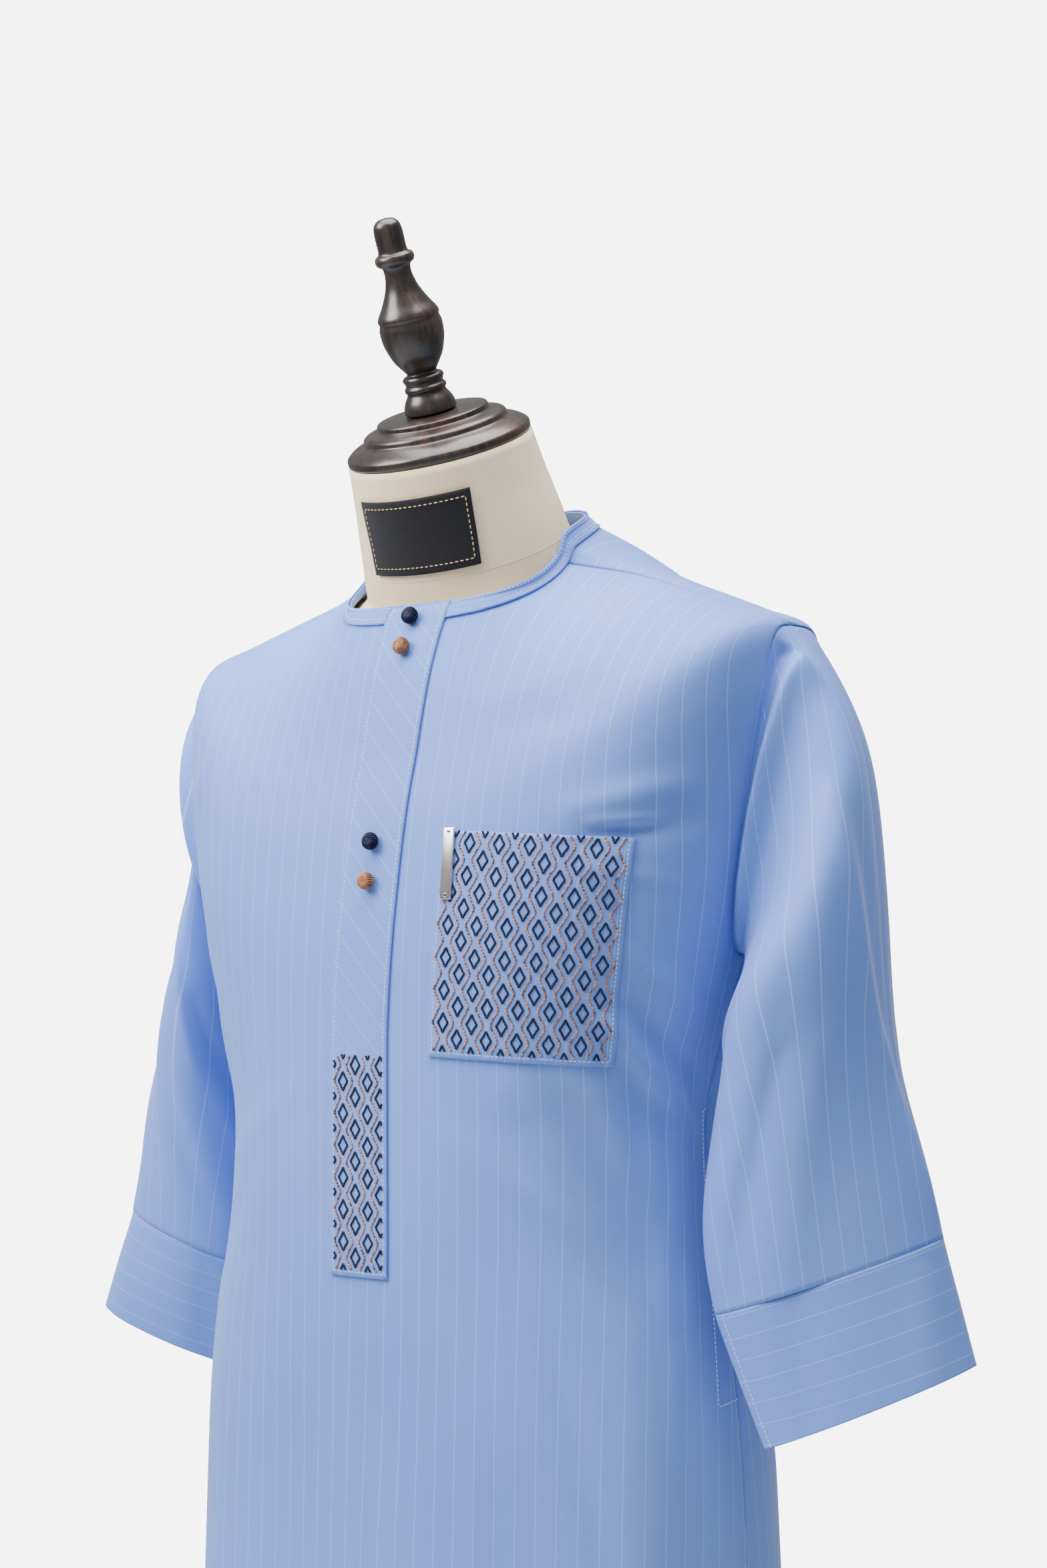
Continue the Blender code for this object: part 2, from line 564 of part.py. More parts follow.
def pocket_point(across, down, lift):
    """A point of the pocket, from its inner top corner (0, 0) to its outer bottom one (1, 1)."""
    width = POCKET_TOP_WIDTH + (POCKET_BOTTOM_WIDTH - POCKET_TOP_WIDTH) * down
    girth, fall = across * width, down * POCKET_HEIGHT
    turn_cos, turn_sin = math.cos(POCKET_TURN), math.sin(POCKET_TURN)
    return on_front(
        POCKET_INNER + girth * turn_cos - fall * turn_sin,
        POCKET_TOP_Z - fall * turn_cos - girth * turn_sin,
        lift,
    )


def add_pocket(place_in):
    shape = facets([panel_row(place, 1) for place in panel_places()])
    corners = [Vector(pocket_point(*spot, 0)) for spot in ((0, 0), (1, 0), (1, 1), (0, 1))]
    middle = Vector(pocket_point(0.5, 0.5, 0))
    for start, end in zip(corners, corners[1:] + corners[:1]):
        outwards = Vector(pocket_point(0.5, 0.5, 0.01)) - middle
        away = (end - start).cross(outwards).normalized()
        if away.dot(middle - start) > 0:
            away.negate()
        cut(shape, start, away)
    return lay_on("chest_pocket", shape, PATCH, "embroidered", place_in)


def facing_matrix(point, beside, below):
    """Axes at a point of the cloth: X to the wearer's left, Y into the cloth and Z up."""
    across = Vector(beside) - Vector(point)
    down = Vector(below) - Vector(point)
    inwards = across.cross(down).normalized()
    up = -down.normalized()
    turn = Matrix((inwards.cross(up), inwards, up)).transposed().to_4x4()
    return Matrix.Translation(Vector(point)) @ turn


def add_pocket_bar(place_in):
    """A flat bar on the pocket's upper inner corner, upright."""
    width, depth, height = BAR_SIZE
    girth, z = POCKET_INNER + BAR_INSET + width / 2, POCKET_TOP_Z + BAR_RISE - height / 2
    lift = SEAM + PATCH + 0.0006 + depth / 2
    at = facing_matrix(
        on_front(girth, z, lift), on_front(girth + width, z, lift), on_front(girth, z - width, lift)
    )
    shape = bmesh.new()
    bmesh.ops.create_cube(shape, size=1)
    bmesh.ops.scale(shape, vec=BAR_SIZE, verts=shape.verts)
    made = mesh_object("pocket_bar", shape, "silver", place_in)
    made.matrix_world = at
    edges = made.modifiers.new("Edges", "BEVEL")
    edges.width = 0.0004
    edges.segments = 1
    return made


def placket_point(across, z, lift):
    return on_front(placket_middle(z) + across * PLACKET_WIDTH / 2, z, lift)


def mesh_object(name, shape, finish, place_in):
    mesh = bpy.data.meshes.new(name)
    shape.to_mesh(mesh)
    shape.free()
    made = bpy.data.objects.new(name, mesh)
    place_in.objects.link(made)
    mesh.materials.append(finished(name, finish))
    return made


def add_button(name, z, finish, place_in):
    """A ball knot, a little flattened, just clear of the placket."""
    radius = BUTTON_DIAMETER / 2
    lift = SEAM + PATCH + SEAM + radius * BUTTON_FLATNESS + 0.0001
    at = facing_matrix(
        placket_point(0, z, lift), placket_point(0.2, z, lift), placket_point(0, z - 0.01, lift)
    )
    shape = bmesh.new()
    bmesh.ops.create_uvsphere(shape, u_segments=14, v_segments=8, radius=radius)
    bmesh.ops.rotate(shape, matrix=Matrix.Rotation(math.pi / 2, 3, "X"), verts=shape.verts)
    bmesh.ops.scale(shape, vec=(1, BUTTON_FLATNESS, 1), verts=shape.verts)
    made = mesh_object(name, shape, finish, place_in)
    made.data.shade_smooth()
    made.matrix_world = at
    return made


def neck_ring(place, turns, lift=0.0):
    """A leaning ring of the form's neck. Turn 0 is at the front, positive to the wearer's left."""
    row = named_rows(NECK_COLUMNS, NECK_ROWS, place)
    lean = np.radians(row["lean"])
    out = (row["half_depth"] + lift) * np.cos(turns)
    x = (row["half_width"] + lift) * np.sin(turns)
    y = row["y"] - out * np.cos(lean)
    z = row["z"] - out * np.sin(lean)
    return np.stack(np.broadcast_arrays(x, y, z), axis=-1)


def form_bottom():
    return float(named_rows(BODY_COLUMNS, BODY_ROWS, HIP_ROW)["front_z"])


def add_form(place_in):
    """Neck, shoulders and torso in one closed solid, the cloth's own shape less its ease. Its
    columns are closer together at the shoulders."""
    turns = np.linspace(-math.pi, math.pi, FORM_COLUMNS, endpoint=False)
    turns = turns + 0.25 * np.sin(2 * turns)
    rings = [neck_ring(place, turns) for place in (0, 1, 1.5, 2, 2.5, 3, 3.5)]
    for place in (0.9, 1.4, 2, 2.6, 3.3, 4, 4.6, 5, 5.4, 5.9, 6.5, 7.2, 8, 9, 10, 11, 12, 13, 14.5,
                  HIP_ROW):
        places = np.full(turns.shape, float(place))
        ease = named_rows(BODY_COLUMNS, BODY_ROWS, places)["ease"] + CLOTH
        normal = body_normal(turns, places)
        rings.append(plain_body_point(turns, places) - normal * ease[:, None])
    rings[-1][:, 2] = form_bottom()
    faces = grid_faces(len(rings), FORM_COLUMNS, closed=True)
    last = (len(rings) - 1) * FORM_COLUMNS
    faces.append(tuple(range(FORM_COLUMNS)))
    faces.append(tuple(range(last, last + FORM_COLUMNS))[::-1])
    return add_mesh("dress_form", rings, faces, "linen", place_in)


def neck_frame():
    """Place and lean of the neck's flat top, which carries the cap."""
    top = NECK_ROWS[0]
    lean = Matrix.Rotation(math.radians(top[4]), 4, "X")
    return Matrix.Translation(Vector((0, top[0], top[1]))) @ lean


def add_label(place_in):
    """A patch on the front of the neck, bowed with it and slanting a little."""
    top_z = NECK_ROWS[0][1] - LABEL_DROP + LABEL_HEIGHT / 2
    points = []
    for down in np.linspace(0, 1, 5):
        z = top_z - LABEL_HEIGHT * down
        place = np.interp(-z, [-row[1] for row in NECK_ROWS], range(len(NECK_ROWS)))
        radius = named_rows(NECK_COLUMNS, NECK_ROWS, place)["half_width"]
        middle = LABEL_TURN - LABEL_SLANT * down
        turns = middle + np.linspace(-0.5, 0.5, 9) * LABEL_WIDTH / radius
        points.append(neck_ring(place, turns, SEAM + 0.0005))
    made = add_mesh("neck_label", points, grid_faces(5, 9), "label", place_in)
    return thicken(made, TRIM, True)


def add_turned(name, profile, finish, place_in):
    """A turned piece: its profile of radius and height, spun about Z."""
    mesh = bpy.data.meshes.new(name)
    edges = [(index, index + 1) for index in range(len(profile) - 1)]
    mesh.from_pydata([(radius, 0, height) for radius, height in profile], edges, [])
    made = bpy.data.objects.new(name, mesh)
    place_in.objects.link(made)
    mesh.materials.append(finished(name, finish))
    spin = made.modifiers.new("Spin", "SCREW")
    spin.steps = spin.render_steps = TURNED_STEPS
    spin.use_merge_vertices = True
    spin.merge_threshold = 0.00005
    spin.use_smooth_shade = True
    return made


def add_pole(top_z, bottom_z, place_in):
    shape = bmesh.new()
    bmesh.ops.create_cone(
        shape, cap_ends=True, segments=20, radius1=POLE_RADIUS, radius2=POLE_RADIUS,
        depth=top_z - bottom_z,
    )
    made = mesh_object("stand_pole", shape, "black_metal", place_in)
    made.location = (0, 0, (top_z + bottom_z) / 2)
    return made


def main():
    for old in list(bpy.data.objects):
        bpy.data.objects.remove(old, do_unlink=True)
    kaftan = bpy.data.collections.new("kaftan_on_form")
    bpy.context.scene.collection.children.link(kaftan)

    add_panel("front_panel", 1, kaftan)
    add_panel("back_panel", -1, kaftan)
    for side, hand in ((1, "left"), (-1, "right")):
        add_sleeve("sleeve_" + hand, side, kaftan)
        add_cuff("cuff_" + hand, side, kaftan)
    add_neck_band(kaftan)
    add_placket(kaftan)
    add_pocket(kaftan)
    add_pocket_bar(kaftan)
    for index, z in enumerate(BUTTON_HEIGHTS):
        thread = ("navy_thread", "copper_thread")[index % 2]
        add_button(f"button_{index + 1}", z, thread, kaftan)

    add_form(kaftan)
    add_label(kaftan)
    cap = add_turned("neck_cap", CAP_PROFILE, "dark_wood", kaftan)
    cap.matrix_world = neck_frame()
    finial = add_turned("finial", FINIAL_PROFILE, "dark_wood", kaftan)
    finial.matrix_world = neck_frame() @ Matrix.Translation(Vector((0, 0, CAP_PROFILE[0][1])))
    add_pole(form_bottom() - SEAM, BASE_PROFILE[0][1] + SEAM, kaftan)
    add_turned("stand_base", BASE_PROFILE, "black_metal", kaftan)


main()
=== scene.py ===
"""Dresses the kaftan on its form: cloth, sewing, thread, linen, wood and metal.

Metres, +Z up, the front faces -Y and the wearer's left is +X. The cloth follows the same named
rows as the solids, divided more finely and with its smaller creases.
"""

import math
import json

import bpy
import numpy as np
from mathutils import Matrix, Vector

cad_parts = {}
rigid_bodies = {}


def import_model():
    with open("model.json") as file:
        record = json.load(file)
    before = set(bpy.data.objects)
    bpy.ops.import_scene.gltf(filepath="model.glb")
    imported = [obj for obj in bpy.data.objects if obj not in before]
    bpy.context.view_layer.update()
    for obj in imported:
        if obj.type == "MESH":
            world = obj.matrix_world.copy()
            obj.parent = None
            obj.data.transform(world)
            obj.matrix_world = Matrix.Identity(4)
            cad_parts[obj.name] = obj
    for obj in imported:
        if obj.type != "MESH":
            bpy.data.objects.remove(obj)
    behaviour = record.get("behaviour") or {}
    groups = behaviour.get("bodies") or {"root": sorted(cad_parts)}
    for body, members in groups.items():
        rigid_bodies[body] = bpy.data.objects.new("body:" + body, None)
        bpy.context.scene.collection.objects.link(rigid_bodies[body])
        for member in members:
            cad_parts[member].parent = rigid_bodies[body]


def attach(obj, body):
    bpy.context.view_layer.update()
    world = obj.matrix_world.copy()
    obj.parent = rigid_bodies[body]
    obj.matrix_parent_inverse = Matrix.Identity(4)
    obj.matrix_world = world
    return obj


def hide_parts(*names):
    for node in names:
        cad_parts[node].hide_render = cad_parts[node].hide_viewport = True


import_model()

bl_info = {
    "name": "Kaftan on a dress form",
    "version": (1, 0, 0),
    "blender": (4, 5, 0),
    "location": "3D View > Sidebar > Kaftan",
    "description": "Cloth, sewing and finishes of a kaftan worn by a limbless dress form",
    "category": "Object",
}


# Cloth
CLOTH = 0.0013
SEAM = 0.0003
TRIM = 0.0012
PATCH = 0.0010

# The body: rows run from the neckline down to the hem. A row is a ring with its own height and
# depth at the front, the side and the back. Squareness 2 is an ellipse, rise shapes the way up from
# the front to the side, seam is the angle of the seam from the front in degrees, and ease is the
# room between the cloth and the form.
BODY_COLUMNS = (
    "front_z", "side_z", "back_z", "half_width", "front_y", "mid_y", "back_y",
    "squareness", "rise", "seam", "ease",
)
BODY_ROWS = (
    (1.4750, 1.519, 1.546, 0.0817, -0.0840, -0.020, 0.046, 2.50, 0.46, 88, 0.0030),
    (1.4630, 1.511, 1.535, 0.0865, -0.0915, -0.014, 0.058, 2.38, 0.54, 88, 0.0030),
    (1.4330, 1.500, 1.512, 0.1260, -0.1020, 0.010, 0.078, 2.25, 1.0, 86, 0.0030),
    (1.4020, 1.485, 1.482, 0.1660, -0.1085, 0.026, 0.095, 2.40, 1.7, 84, 0.0030),
    (1.3730, 1.470, 1.450, 0.2050, -0.1135, 0.031, 0.106, 2.60, 2.0, 86, 0.0032),
    (1.3460, 1.457, 1.416, 0.2350, -0.1195, 0.034, 0.113, 2.70, 2.2, 89, 0.0040),
    (1.3200, 1.425, 1.385, 0.2410, -0.1240, 0.030, 0.118, 2.70, 2.2, 90, 0.0100),
    (1.2880, 1.372, 1.345, 0.2370, -0.1280, 0.024, 0.121, 2.60, 2.0, 90, 0.0140),
    (1.2540, 1.308, 1.292, 0.2270, -0.1315, 0.014, 0.122, 2.50, 2.0, 90, 0.0150),
    (1.2180, 1.242, 1.235, 0.2120, -0.1335, 0.005, 0.122, 2.40, 2.0, 90, 0.0150),
    (1.1750, 1.182, 1.180, 0.1955, -0.1340, 0.001, 0.121, 2.35, 2.0, 90, 0.0150),
    (1.1380, 1.140, 1.139, 0.1855, -0.1340, 0.000, 0.120, 2.30, 2.0, 90, 0.0160),
    (1.0980, 1.098, 1.098, 0.1860, -0.1338, 0.000, 0.122, 2.30, 2.0, 90, 0.0180),
    (1.0500, 1.050, 1.050, 0.1915, -0.1335, 0.000, 0.126, 2.30, 2.0, 90, 0.0200),
    (1.0000, 1.000, 1.000, 0.2030, -0.1340, 0.000, 0.131, 2.30, 2.0, 90, 0.0210),
    (0.9300, 0.930, 0.930, 0.2120, -0.1355, 0.000, 0.136, 2.30, 2.0, 90, 0.0220),
    (0.8500, 0.850, 0.850, 0.2170, -0.1380, 0.000, 0.140, 2.25, 2.0, 90, 0.0250),
    (0.7300, 0.730, 0.730, 0.2220, -0.1420, 0.000, 0.145, 2.20, 2.0, 90, 0.0300),
    (0.6100, 0.610, 0.610, 0.2260, -0.1460, 0.000, 0.150, 2.20, 2.0, 90, 0.0300),
    (0.4900, 0.490, 0.490, 0.2300, -0.1500, 0.000, 0.154, 2.20, 2.0, 90, 0.0300),
)
SHOULDER_RISE_LEFT = 0.018
SHOULDER_DROP_RIGHT = 0.055
SHOULDER_TILT_ENDS = 10.0
SHOULDER_ROW = 5.0
UNDERARM_ROW = 9.0
HIP_ROW = 16.4
HEM_ROW = len(BODY_ROWS) - 1.0
ARMHOLE_FRONT = math.radians(11)
ARMHOLE_BACK = math.radians(31)
ARMHOLE_STEPS = 57
BAND_ROW = 1.0

# Folds of the panels, each a soft ridge (or, below zero, a trough) from one place to the other:
# girth and height of both its ends, spread and height of the fold. Girth is the distance round
# from the middle of the front or back, to the wearer's left if positive.
FRONT_FOLDS = (
    (0.165, 1.338, 0.235, 1.352, 0.010, 0.0035),
    (0.175, 1.318, 0.240, 1.330, 0.009, -0.0030),
    (0.165, 1.165, 0.235, 1.060, 0.014, 0.0040),
    (0.150, 1.130, 0.225, 1.010, 0.014, -0.0035),
    (0.225, 1.200, 0.232, 1.020, 0.014, 0.0050),
    (0.255, 1.180, 0.250, 0.960, 0.013, -0.0045),
    (-0.180, 1.180, -0.225, 1.030, 0.015, 0.0040),
    (-0.245, 1.170, -0.235, 0.980, 0.014, -0.0040),
    (0.205, 0.980, 0.215, 0.510, 0.026, 0.0060),
    (0.120, 0.880, 0.115, 0.490, 0.028, -0.0050),
    (0.030, 0.860, 0.035, 0.490, 0.030, 0.0050),
    (-0.060, 0.900, -0.065, 0.490, 0.028, -0.0045),
    (-0.140, 0.960, -0.150, 0.490, 0.028, 0.0055),
    (-0.225, 0.900, -0.230, 0.490, 0.024, -0.0050),
)
BACK_FOLDS = (
    (0.055, 1.535, 0.140, 1.505, 0.012, 0.0060),
    (0.030, 1.500, 0.110, 1.475, 0.009, -0.0014),
    (-0.060, 1.505, -0.130, 1.485, 0.009, 0.0020),
    (0.150, 1.300, 0.215, 1.180, 0.018, 0.0045),
    (-0.150, 1.290, -0.220, 1.160, 0.018, 0.0045),
    (0.190, 1.160, 0.200, 0.940, 0.016, -0.0045),
    (-0.195, 1.150, -0.205, 0.950, 0.016, -0.0045),
    (0.020, 1.220, 0.060, 1.020, 0.024, 0.0040),
    (-0.060, 1.200, -0.040, 0.980, 0.024, -0.0035),
    (0.190, 0.900, 0.195, 0.490, 0.026, 0.0055),
    (0.105, 0.860, 0.105, 0.490, 0.026, -0.0050),
    (0.020, 0.900, 0.018, 0.490, 0.028, 0.0055),
    (-0.075, 0.880, -0.080, 0.490, 0.028, -0.0045),
    (-0.165, 0.900, -0.160, 0.490, 0.026, 0.0055),
)

# The sleeves, as rings from the armhole down to the hem of the cuff, both written for +X. Each ring
# goes through an outer and an inner point. Front and back are its bulges either way, and settle is
# how far it has left the armhole's own shape. The right one hangs closer to the side.
SLEEVE_COLUMNS = (
    "outer_x", "outer_y", "outer_z", "inner_x", "inner_y", "inner_z", "front", "back", "settle",
)
LEFT_SLEEVE_ROWS = (
    (0.2510, 0.034, 1.4420, 0.2240, 0.000, 1.2380, 0.048, 0.052, 0.35),
    (0.2650, 0.034, 1.4220, 0.2250, -0.018, 1.2260, 0.050, 0.055, 0.70),
    (0.2830, 0.033, 1.3860, 0.2240, -0.028, 1.2100, 0.052, 0.056, 1.00),
    (0.2930, 0.032, 1.3300, 0.2220, -0.031, 1.1900, 0.053, 0.056, 1.00),
    (0.2990, 0.031, 1.2660, 0.2180, -0.031, 1.1650, 0.051, 0.055, 1.00),
    (0.3040, 0.030, 1.2100, 0.2130, -0.033, 1.1360, 0.047, 0.052, 1.00),
    (0.3140, 0.030, 1.1640, 0.2080, -0.035, 1.1020, 0.043, 0.048, 1.00),
    (0.3270, 0.030, 1.1250, 0.2055, -0.036, 1.0720, 0.038, 0.043, 1.00),
    (0.3370, 0.030, 1.0930, 0.2085, -0.036, 1.0420, 0.035, 0.038, 1.00),
    (0.3440, 0.030, 1.0650, 0.2150, -0.035, 1.0130, 0.032, 0.034, 1.00),
    (0.3560, 0.030, 1.0260, 0.2310, -0.032, 0.9720, 0.029, 0.030, 1.00),
    (0.3680, 0.030, 0.9870, 0.2480, -0.028, 0.9300, 0.026, 0.026, 1.00),
)
RIGHT_SLEEVE_ROWS = (
    (0.2690, 0.034, 1.4370, 0.2240, 0.014, 1.2390, 0.058, 0.051, 0.65),
    (0.2770, 0.034, 1.4270, 0.2250, 0.020, 1.2350, 0.058, 0.052, 0.90),
    (0.2590, 0.034, 1.3840, 0.2260, 0.025, 1.2310, 0.046, 0.054, 1.00),
    (0.2670, 0.033, 1.2980, 0.2280, 0.030, 1.2220, 0.062, 0.054, 1.00),
    (0.2790, 0.030, 1.2480, 0.2300, 0.034, 1.2020, 0.074, 0.052, 1.00),
    (0.2960, 0.026, 1.2080, 0.2310, 0.038, 1.1600, 0.080, 0.050, 1.00),
    (0.3110, 0.022, 1.1600, 0.2310, 0.042, 1.1210, 0.075, 0.047, 1.00),
    (0.3230, 0.018, 1.1150, 0.2310, 0.045, 1.0790, 0.064, 0.043, 1.00),
    (0.3330, 0.014, 1.0760, 0.2310, 0.047, 1.0380, 0.052, 0.038, 1.00),
    (0.3420, 0.011, 1.0400, 0.2320, 0.048, 0.9980, 0.042, 0.034, 1.00),
    (0.3570, 0.009, 1.0010, 0.2410, 0.049, 0.9590, 0.036, 0.030, 1.00),
    (0.3700, 0.007, 0.9640, 0.2510, 0.050, 0.9190, 0.030, 0.026, 1.00),
)
CUFF_ROW = 9.0
SLEEVE_END = len(LEFT_SLEEVE_ROWS) - 1.0
SLEEVE_SQUARENESS = 1.75
ROLL_OUT = 0.0045

# The pieces sewn on the front, by girth from the middle and height
PLACKET_WIDTH = 0.0480
PLACKET_TOP_SHIFT = 0.012
PLACKET_STRAIGHT_Z = 1.190
PLACKET_BOTTOM_Z = 1.030
POCKET_INNER = 0.0620
POCKET_TOP_WIDTH = 0.1345
POCKET_BOTTOM_WIDTH = 0.1245
POCKET_TOP_Z = 1.3240
POCKET_HEIGHT = 0.1470
POCKET_TURN = math.radians(2.2)
BAR_SIZE = (0.0085, 0.0020, 0.0470)
BAR_INSET = 0.0027
BAR_RISE = 0.0015
BUTTON_DIAMETER = 0.0115
BUTTON_FLATNESS = 0.82
BUTTON_HEIGHTS = (1.4650, 1.4450, 1.3160, 1.2900)

# The form's neck, cap and finial
NECK_COLUMNS = ("y", "z", "half_width", "half_depth", "lean")
NECK_ROWS = (
    (-0.0486, 1.5860, 0.0643, 0.0640, 22),
    (-0.0382, 1.5620, 0.0680, 0.0650, 22),
    (-0.0260, 1.5340, 0.0745, 0.0650, 23),
    (-0.0170, 1.5080, 0.0785, 0.0650, 27),
    (-0.0180, 1.4930, 0.0785, 0.0640, 33),
)
CAP_PROFILE = (
    (0.0000, 0.0250), (0.0375, 0.0250), (0.0390, 0.0235), (0.0390, 0.0205), (0.0420, 0.0195),
    (0.0475, 0.0185), (0.0500, 0.0165), (0.0505, 0.0130), (0.0560, 0.0115), (0.0605, 0.0090),
    (0.0640, 0.0060), (0.0640, 0.0020), (0.0628, 0.0003), (0.0000, 0.0003),
)
FINIAL_PROFILE = (
    (0.0000, 0.1345), (0.0060, 0.1335), (0.0092, 0.1300), (0.0100, 0.1240), (0.0097, 0.1110),
    (0.0128, 0.1095), (0.0138, 0.1065), (0.0128, 0.1035), (0.0094, 0.1015), (0.0092, 0.0950),
    (0.0115, 0.0860), (0.0165, 0.0760), (0.0205, 0.0700), (0.0215, 0.0670), (0.0205, 0.0650),
    (0.0220, 0.0600), (0.0212, 0.0500), (0.0175, 0.0390), (0.0120, 0.0310), (0.0098, 0.0280),
    (0.0135, 0.0265), (0.0145, 0.0245), (0.0135, 0.0225), (0.0128, 0.0205), (0.0145, 0.0185),
    (0.0145, 0.0165), (0.0130, 0.0150), (0.0165, 0.0095), (0.0180, 0.0050), (0.0180, 0.0003),
    (0.0000, 0.0003),
)
LABEL_WIDTH = 0.0870
LABEL_HEIGHT = 0.0440
LABEL_TURN = 0.20
LABEL_SLANT = 0.060
LABEL_DROP = 0.0402
POLE_RADIUS = 0.0160
BASE_PROFILE = (
    (0.0000, 0.0560), (0.0220, 0.0560), (0.0235, 0.0545), (0.0250, 0.0420), (0.0320, 0.0320),
    (0.0500, 0.0270), (0.1500, 0.0210), (0.1680, 0.0170), (0.1750, 0.0100), (0.1750, 0.0020),
    (0.1730, 0.0000), (0.0000, 0.0000),
)

# How finely the lofts are divided
PANEL_COLUMNS = 144
PANEL_ROWS = (36, 100, 154)
SLEEVE_RINGS = 110
CUFF_RINGS = 44
BAND_GRID = (10, 300)
PLACKET_GRID = (170, 19)
POCKET_GRID = (56, 50)
FORM_COLUMNS = 128
FORM_STEPS = 4
TURNED_STEPS = 96

# Sewing, and how the stripes and the creases are laid out
SEAM_GROOVE = 0.0008
SEAM_REACH = 0.0025
STITCH_INSET = 0.0030
STITCH_WIDTH = 0.0008
THREAD_WIDTH = 0.0016
MEET = 0.0001
CHEST_ROW = 10.0
LOWEST_LEVEL = 0.92
LEVEL_STEP = 0.003
SLEEVE_GIRTH = 0.36
SLEEVE_ROW_LENGTH = 0.045
SLEEVE_FLARE = 0.06
RIDGE_SPREAD = 0.018
GRID_STEPS = 8
FOLD_FADE = 0.03
HIGHEST_LEVEL = 1.4771
TRIM_SHARE = 0.8
STRIPE_START = 0.004
BAND_STRIPE_START = 0.0085
CUFF_START = 0.004
CUFF_LINE_TURN = 0.445
PRESS_FULLNESS = 0.0006
PRESS_REACH = 0.0022
TOP_LINE = 0.0042
EMBROIDERY_LIFT = 0.0008

# How high a crease is at its ends, as a share, and how many spreads it runs on past them
PANEL_CREASE_ENDS = (0.55, 1.6)
SLEEVE_CREASE_ENDS = (0.50, 1.5)

# A sleeve's first rings: distance out from the armhole's seam and share of the seam's groove. The
# rows after them lie closer together near the armhole by the power.
SLEEVE_STARTS = (-0.0006, 0.0006, 0.0018, 0.0032, ROLL_OUT, 0.0058, 0.0072, 0.0081)
SLEEVE_DIPS = (2.0, 1.1, 0.5, 0.2, 0.05, 0, 0, 0)
SLEEVE_CROWDING = 1.35
SMOOTH_FROM = 4
SMOOTH_TIMES = 40
START_ROW = -0.3
START_ROW_LENGTH = 0.03

# The pinch's hollow, as shares of the ridge's distance: its middle, its spread and the ridge's own
HOLLOW_MIDDLE = 0.55
HOLLOW_SPREAD = 0.28
RIDGE_NEAR_SPREAD = 0.30

# The embroidery: an even column of the chart has its first diamond's middle at the second value,
# an odd one at the third, in metres down from the pocket's top edge
CHART_LEFT = 0.0118
CHART_COLUMN = 0.0110
CHART_REPEAT = 0.0211
CHART_EVEN = 0.0187
CHART_ODD = 0.0077
DIAMOND_HALF = (0.0040, 0.0064)
ZIGZAG_REACH = 0.0028
ZIGZAG_PITCH = 0.0024
LINK_SHARE = 0.90

# Each chart's first column, the columns' pitch, their number and which of them are even (0 the first,
# 1 the second), and the bounds of the stitches: left, right, top and bottom
POCKET_CHART = (CHART_LEFT, CHART_COLUMN, 11, 0)
POCKET_BOUNDS = (0.0028, POCKET_TOP_WIDTH - 0.0028, 0.0004, POCKET_HEIGHT - 0.0044)
FOOT_CHART = (-0.0226, CHART_COLUMN * 0.95, 5, 1)
FOOT_BOUNDS = (-0.0205, 0.0205, 0.0012, POCKET_HEIGHT - 0.0040)

# The studio: each light's name, place, target, size, power and tint, and how bright the
# surroundings are as light and as they are seen
LIGHTS = (
    ("key", (-0.95, -1.50, 2.60), (0, 0, 1.30), (1.2, 1.2), 84.0, (1.0, 0.99, 0.97)),
    ("above", (0.10, -0.20, 3.00), (0, 0, 1.35), (1.6, 1.6), 86.0, (1.0, 1.0, 1.0)),
    ("fill", (1.60, -2.30, 1.50), (0, 0, 1.20), (2.0, 2.0), 4.5, (0.95, 0.97, 1.0)),
)
AIR_LIGHT = 0.36
AIR_SEEN = 7.0

# Smaller creases of the cloth, in the same terms as its folds
FRONT_CREASES = (
    (0.180, 1.196, 0.264, 1.108, 0.0075, 0.0056),
    (0.198, 1.210, 0.270, 1.132, 0.0095, -0.0062),
    (0.222, 1.226, 0.274, 1.165, 0.0080, 0.0042),
    (0.120, 1.160, 0.215, 1.030, 0.0110, 0.0030),
    (0.110, 1.150, 0.225, 0.985, 0.0110, 0.0030),
    (0.125, 1.130, 0.215, 1.000, 0.0100, -0.0034),
    (0.178, 1.3290, 0.224, 1.3312, 0.0036, 0.0032),
    (0.174, 1.3232, 0.214, 1.3246, 0.0028, -0.0022),
    (0.175, 1.300, 0.225, 1.290, 0.0060, 0.0014),
    (0.185, 1.255, 0.222, 1.215, 0.0060, 0.0018),
    (0.180, 1.225, 0.218, 1.175, 0.0050, -0.0016),
    (0.186, 1.195, 0.222, 1.130, 0.0070, 0.0020),
    (0.170, 1.150, 0.200, 1.090, 0.0080, 0.0018),
    (0.205, 1.170, 0.208, 1.080, 0.0060, 0.0022),
    (0.236, 1.120, 0.222, 0.990, 0.0070, -0.0020),
    (0.214, 1.060, 0.228, 0.930, 0.0080, 0.0022),
    (0.130, 1.090, 0.205, 1.020, 0.0100, 0.0016),
    (0.080, 1.120, 0.160, 1.070, 0.0120, 0.0012),
    (-0.060, 1.150, -0.150, 1.100, 0.0120, 0.0012),
    (-0.120, 1.080, -0.190, 1.020, 0.0100, -0.0012),
    (-0.200, 1.240, -0.222, 1.150, 0.0070, 0.0018),
    (-0.180, 1.380, -0.215, 1.330, 0.0100, 0.0014),
    (0.090, 1.410, 0.170, 1.432, 0.0110, 0.0010),
    (0.100, 1.392, 0.180, 1.400, 0.0090, -0.0009),
    (0.140, 1.000, 0.180, 0.860, 0.0110, -0.0016),
    (-0.010, 0.990, 0.005, 0.800, 0.0140, 0.0014),
)
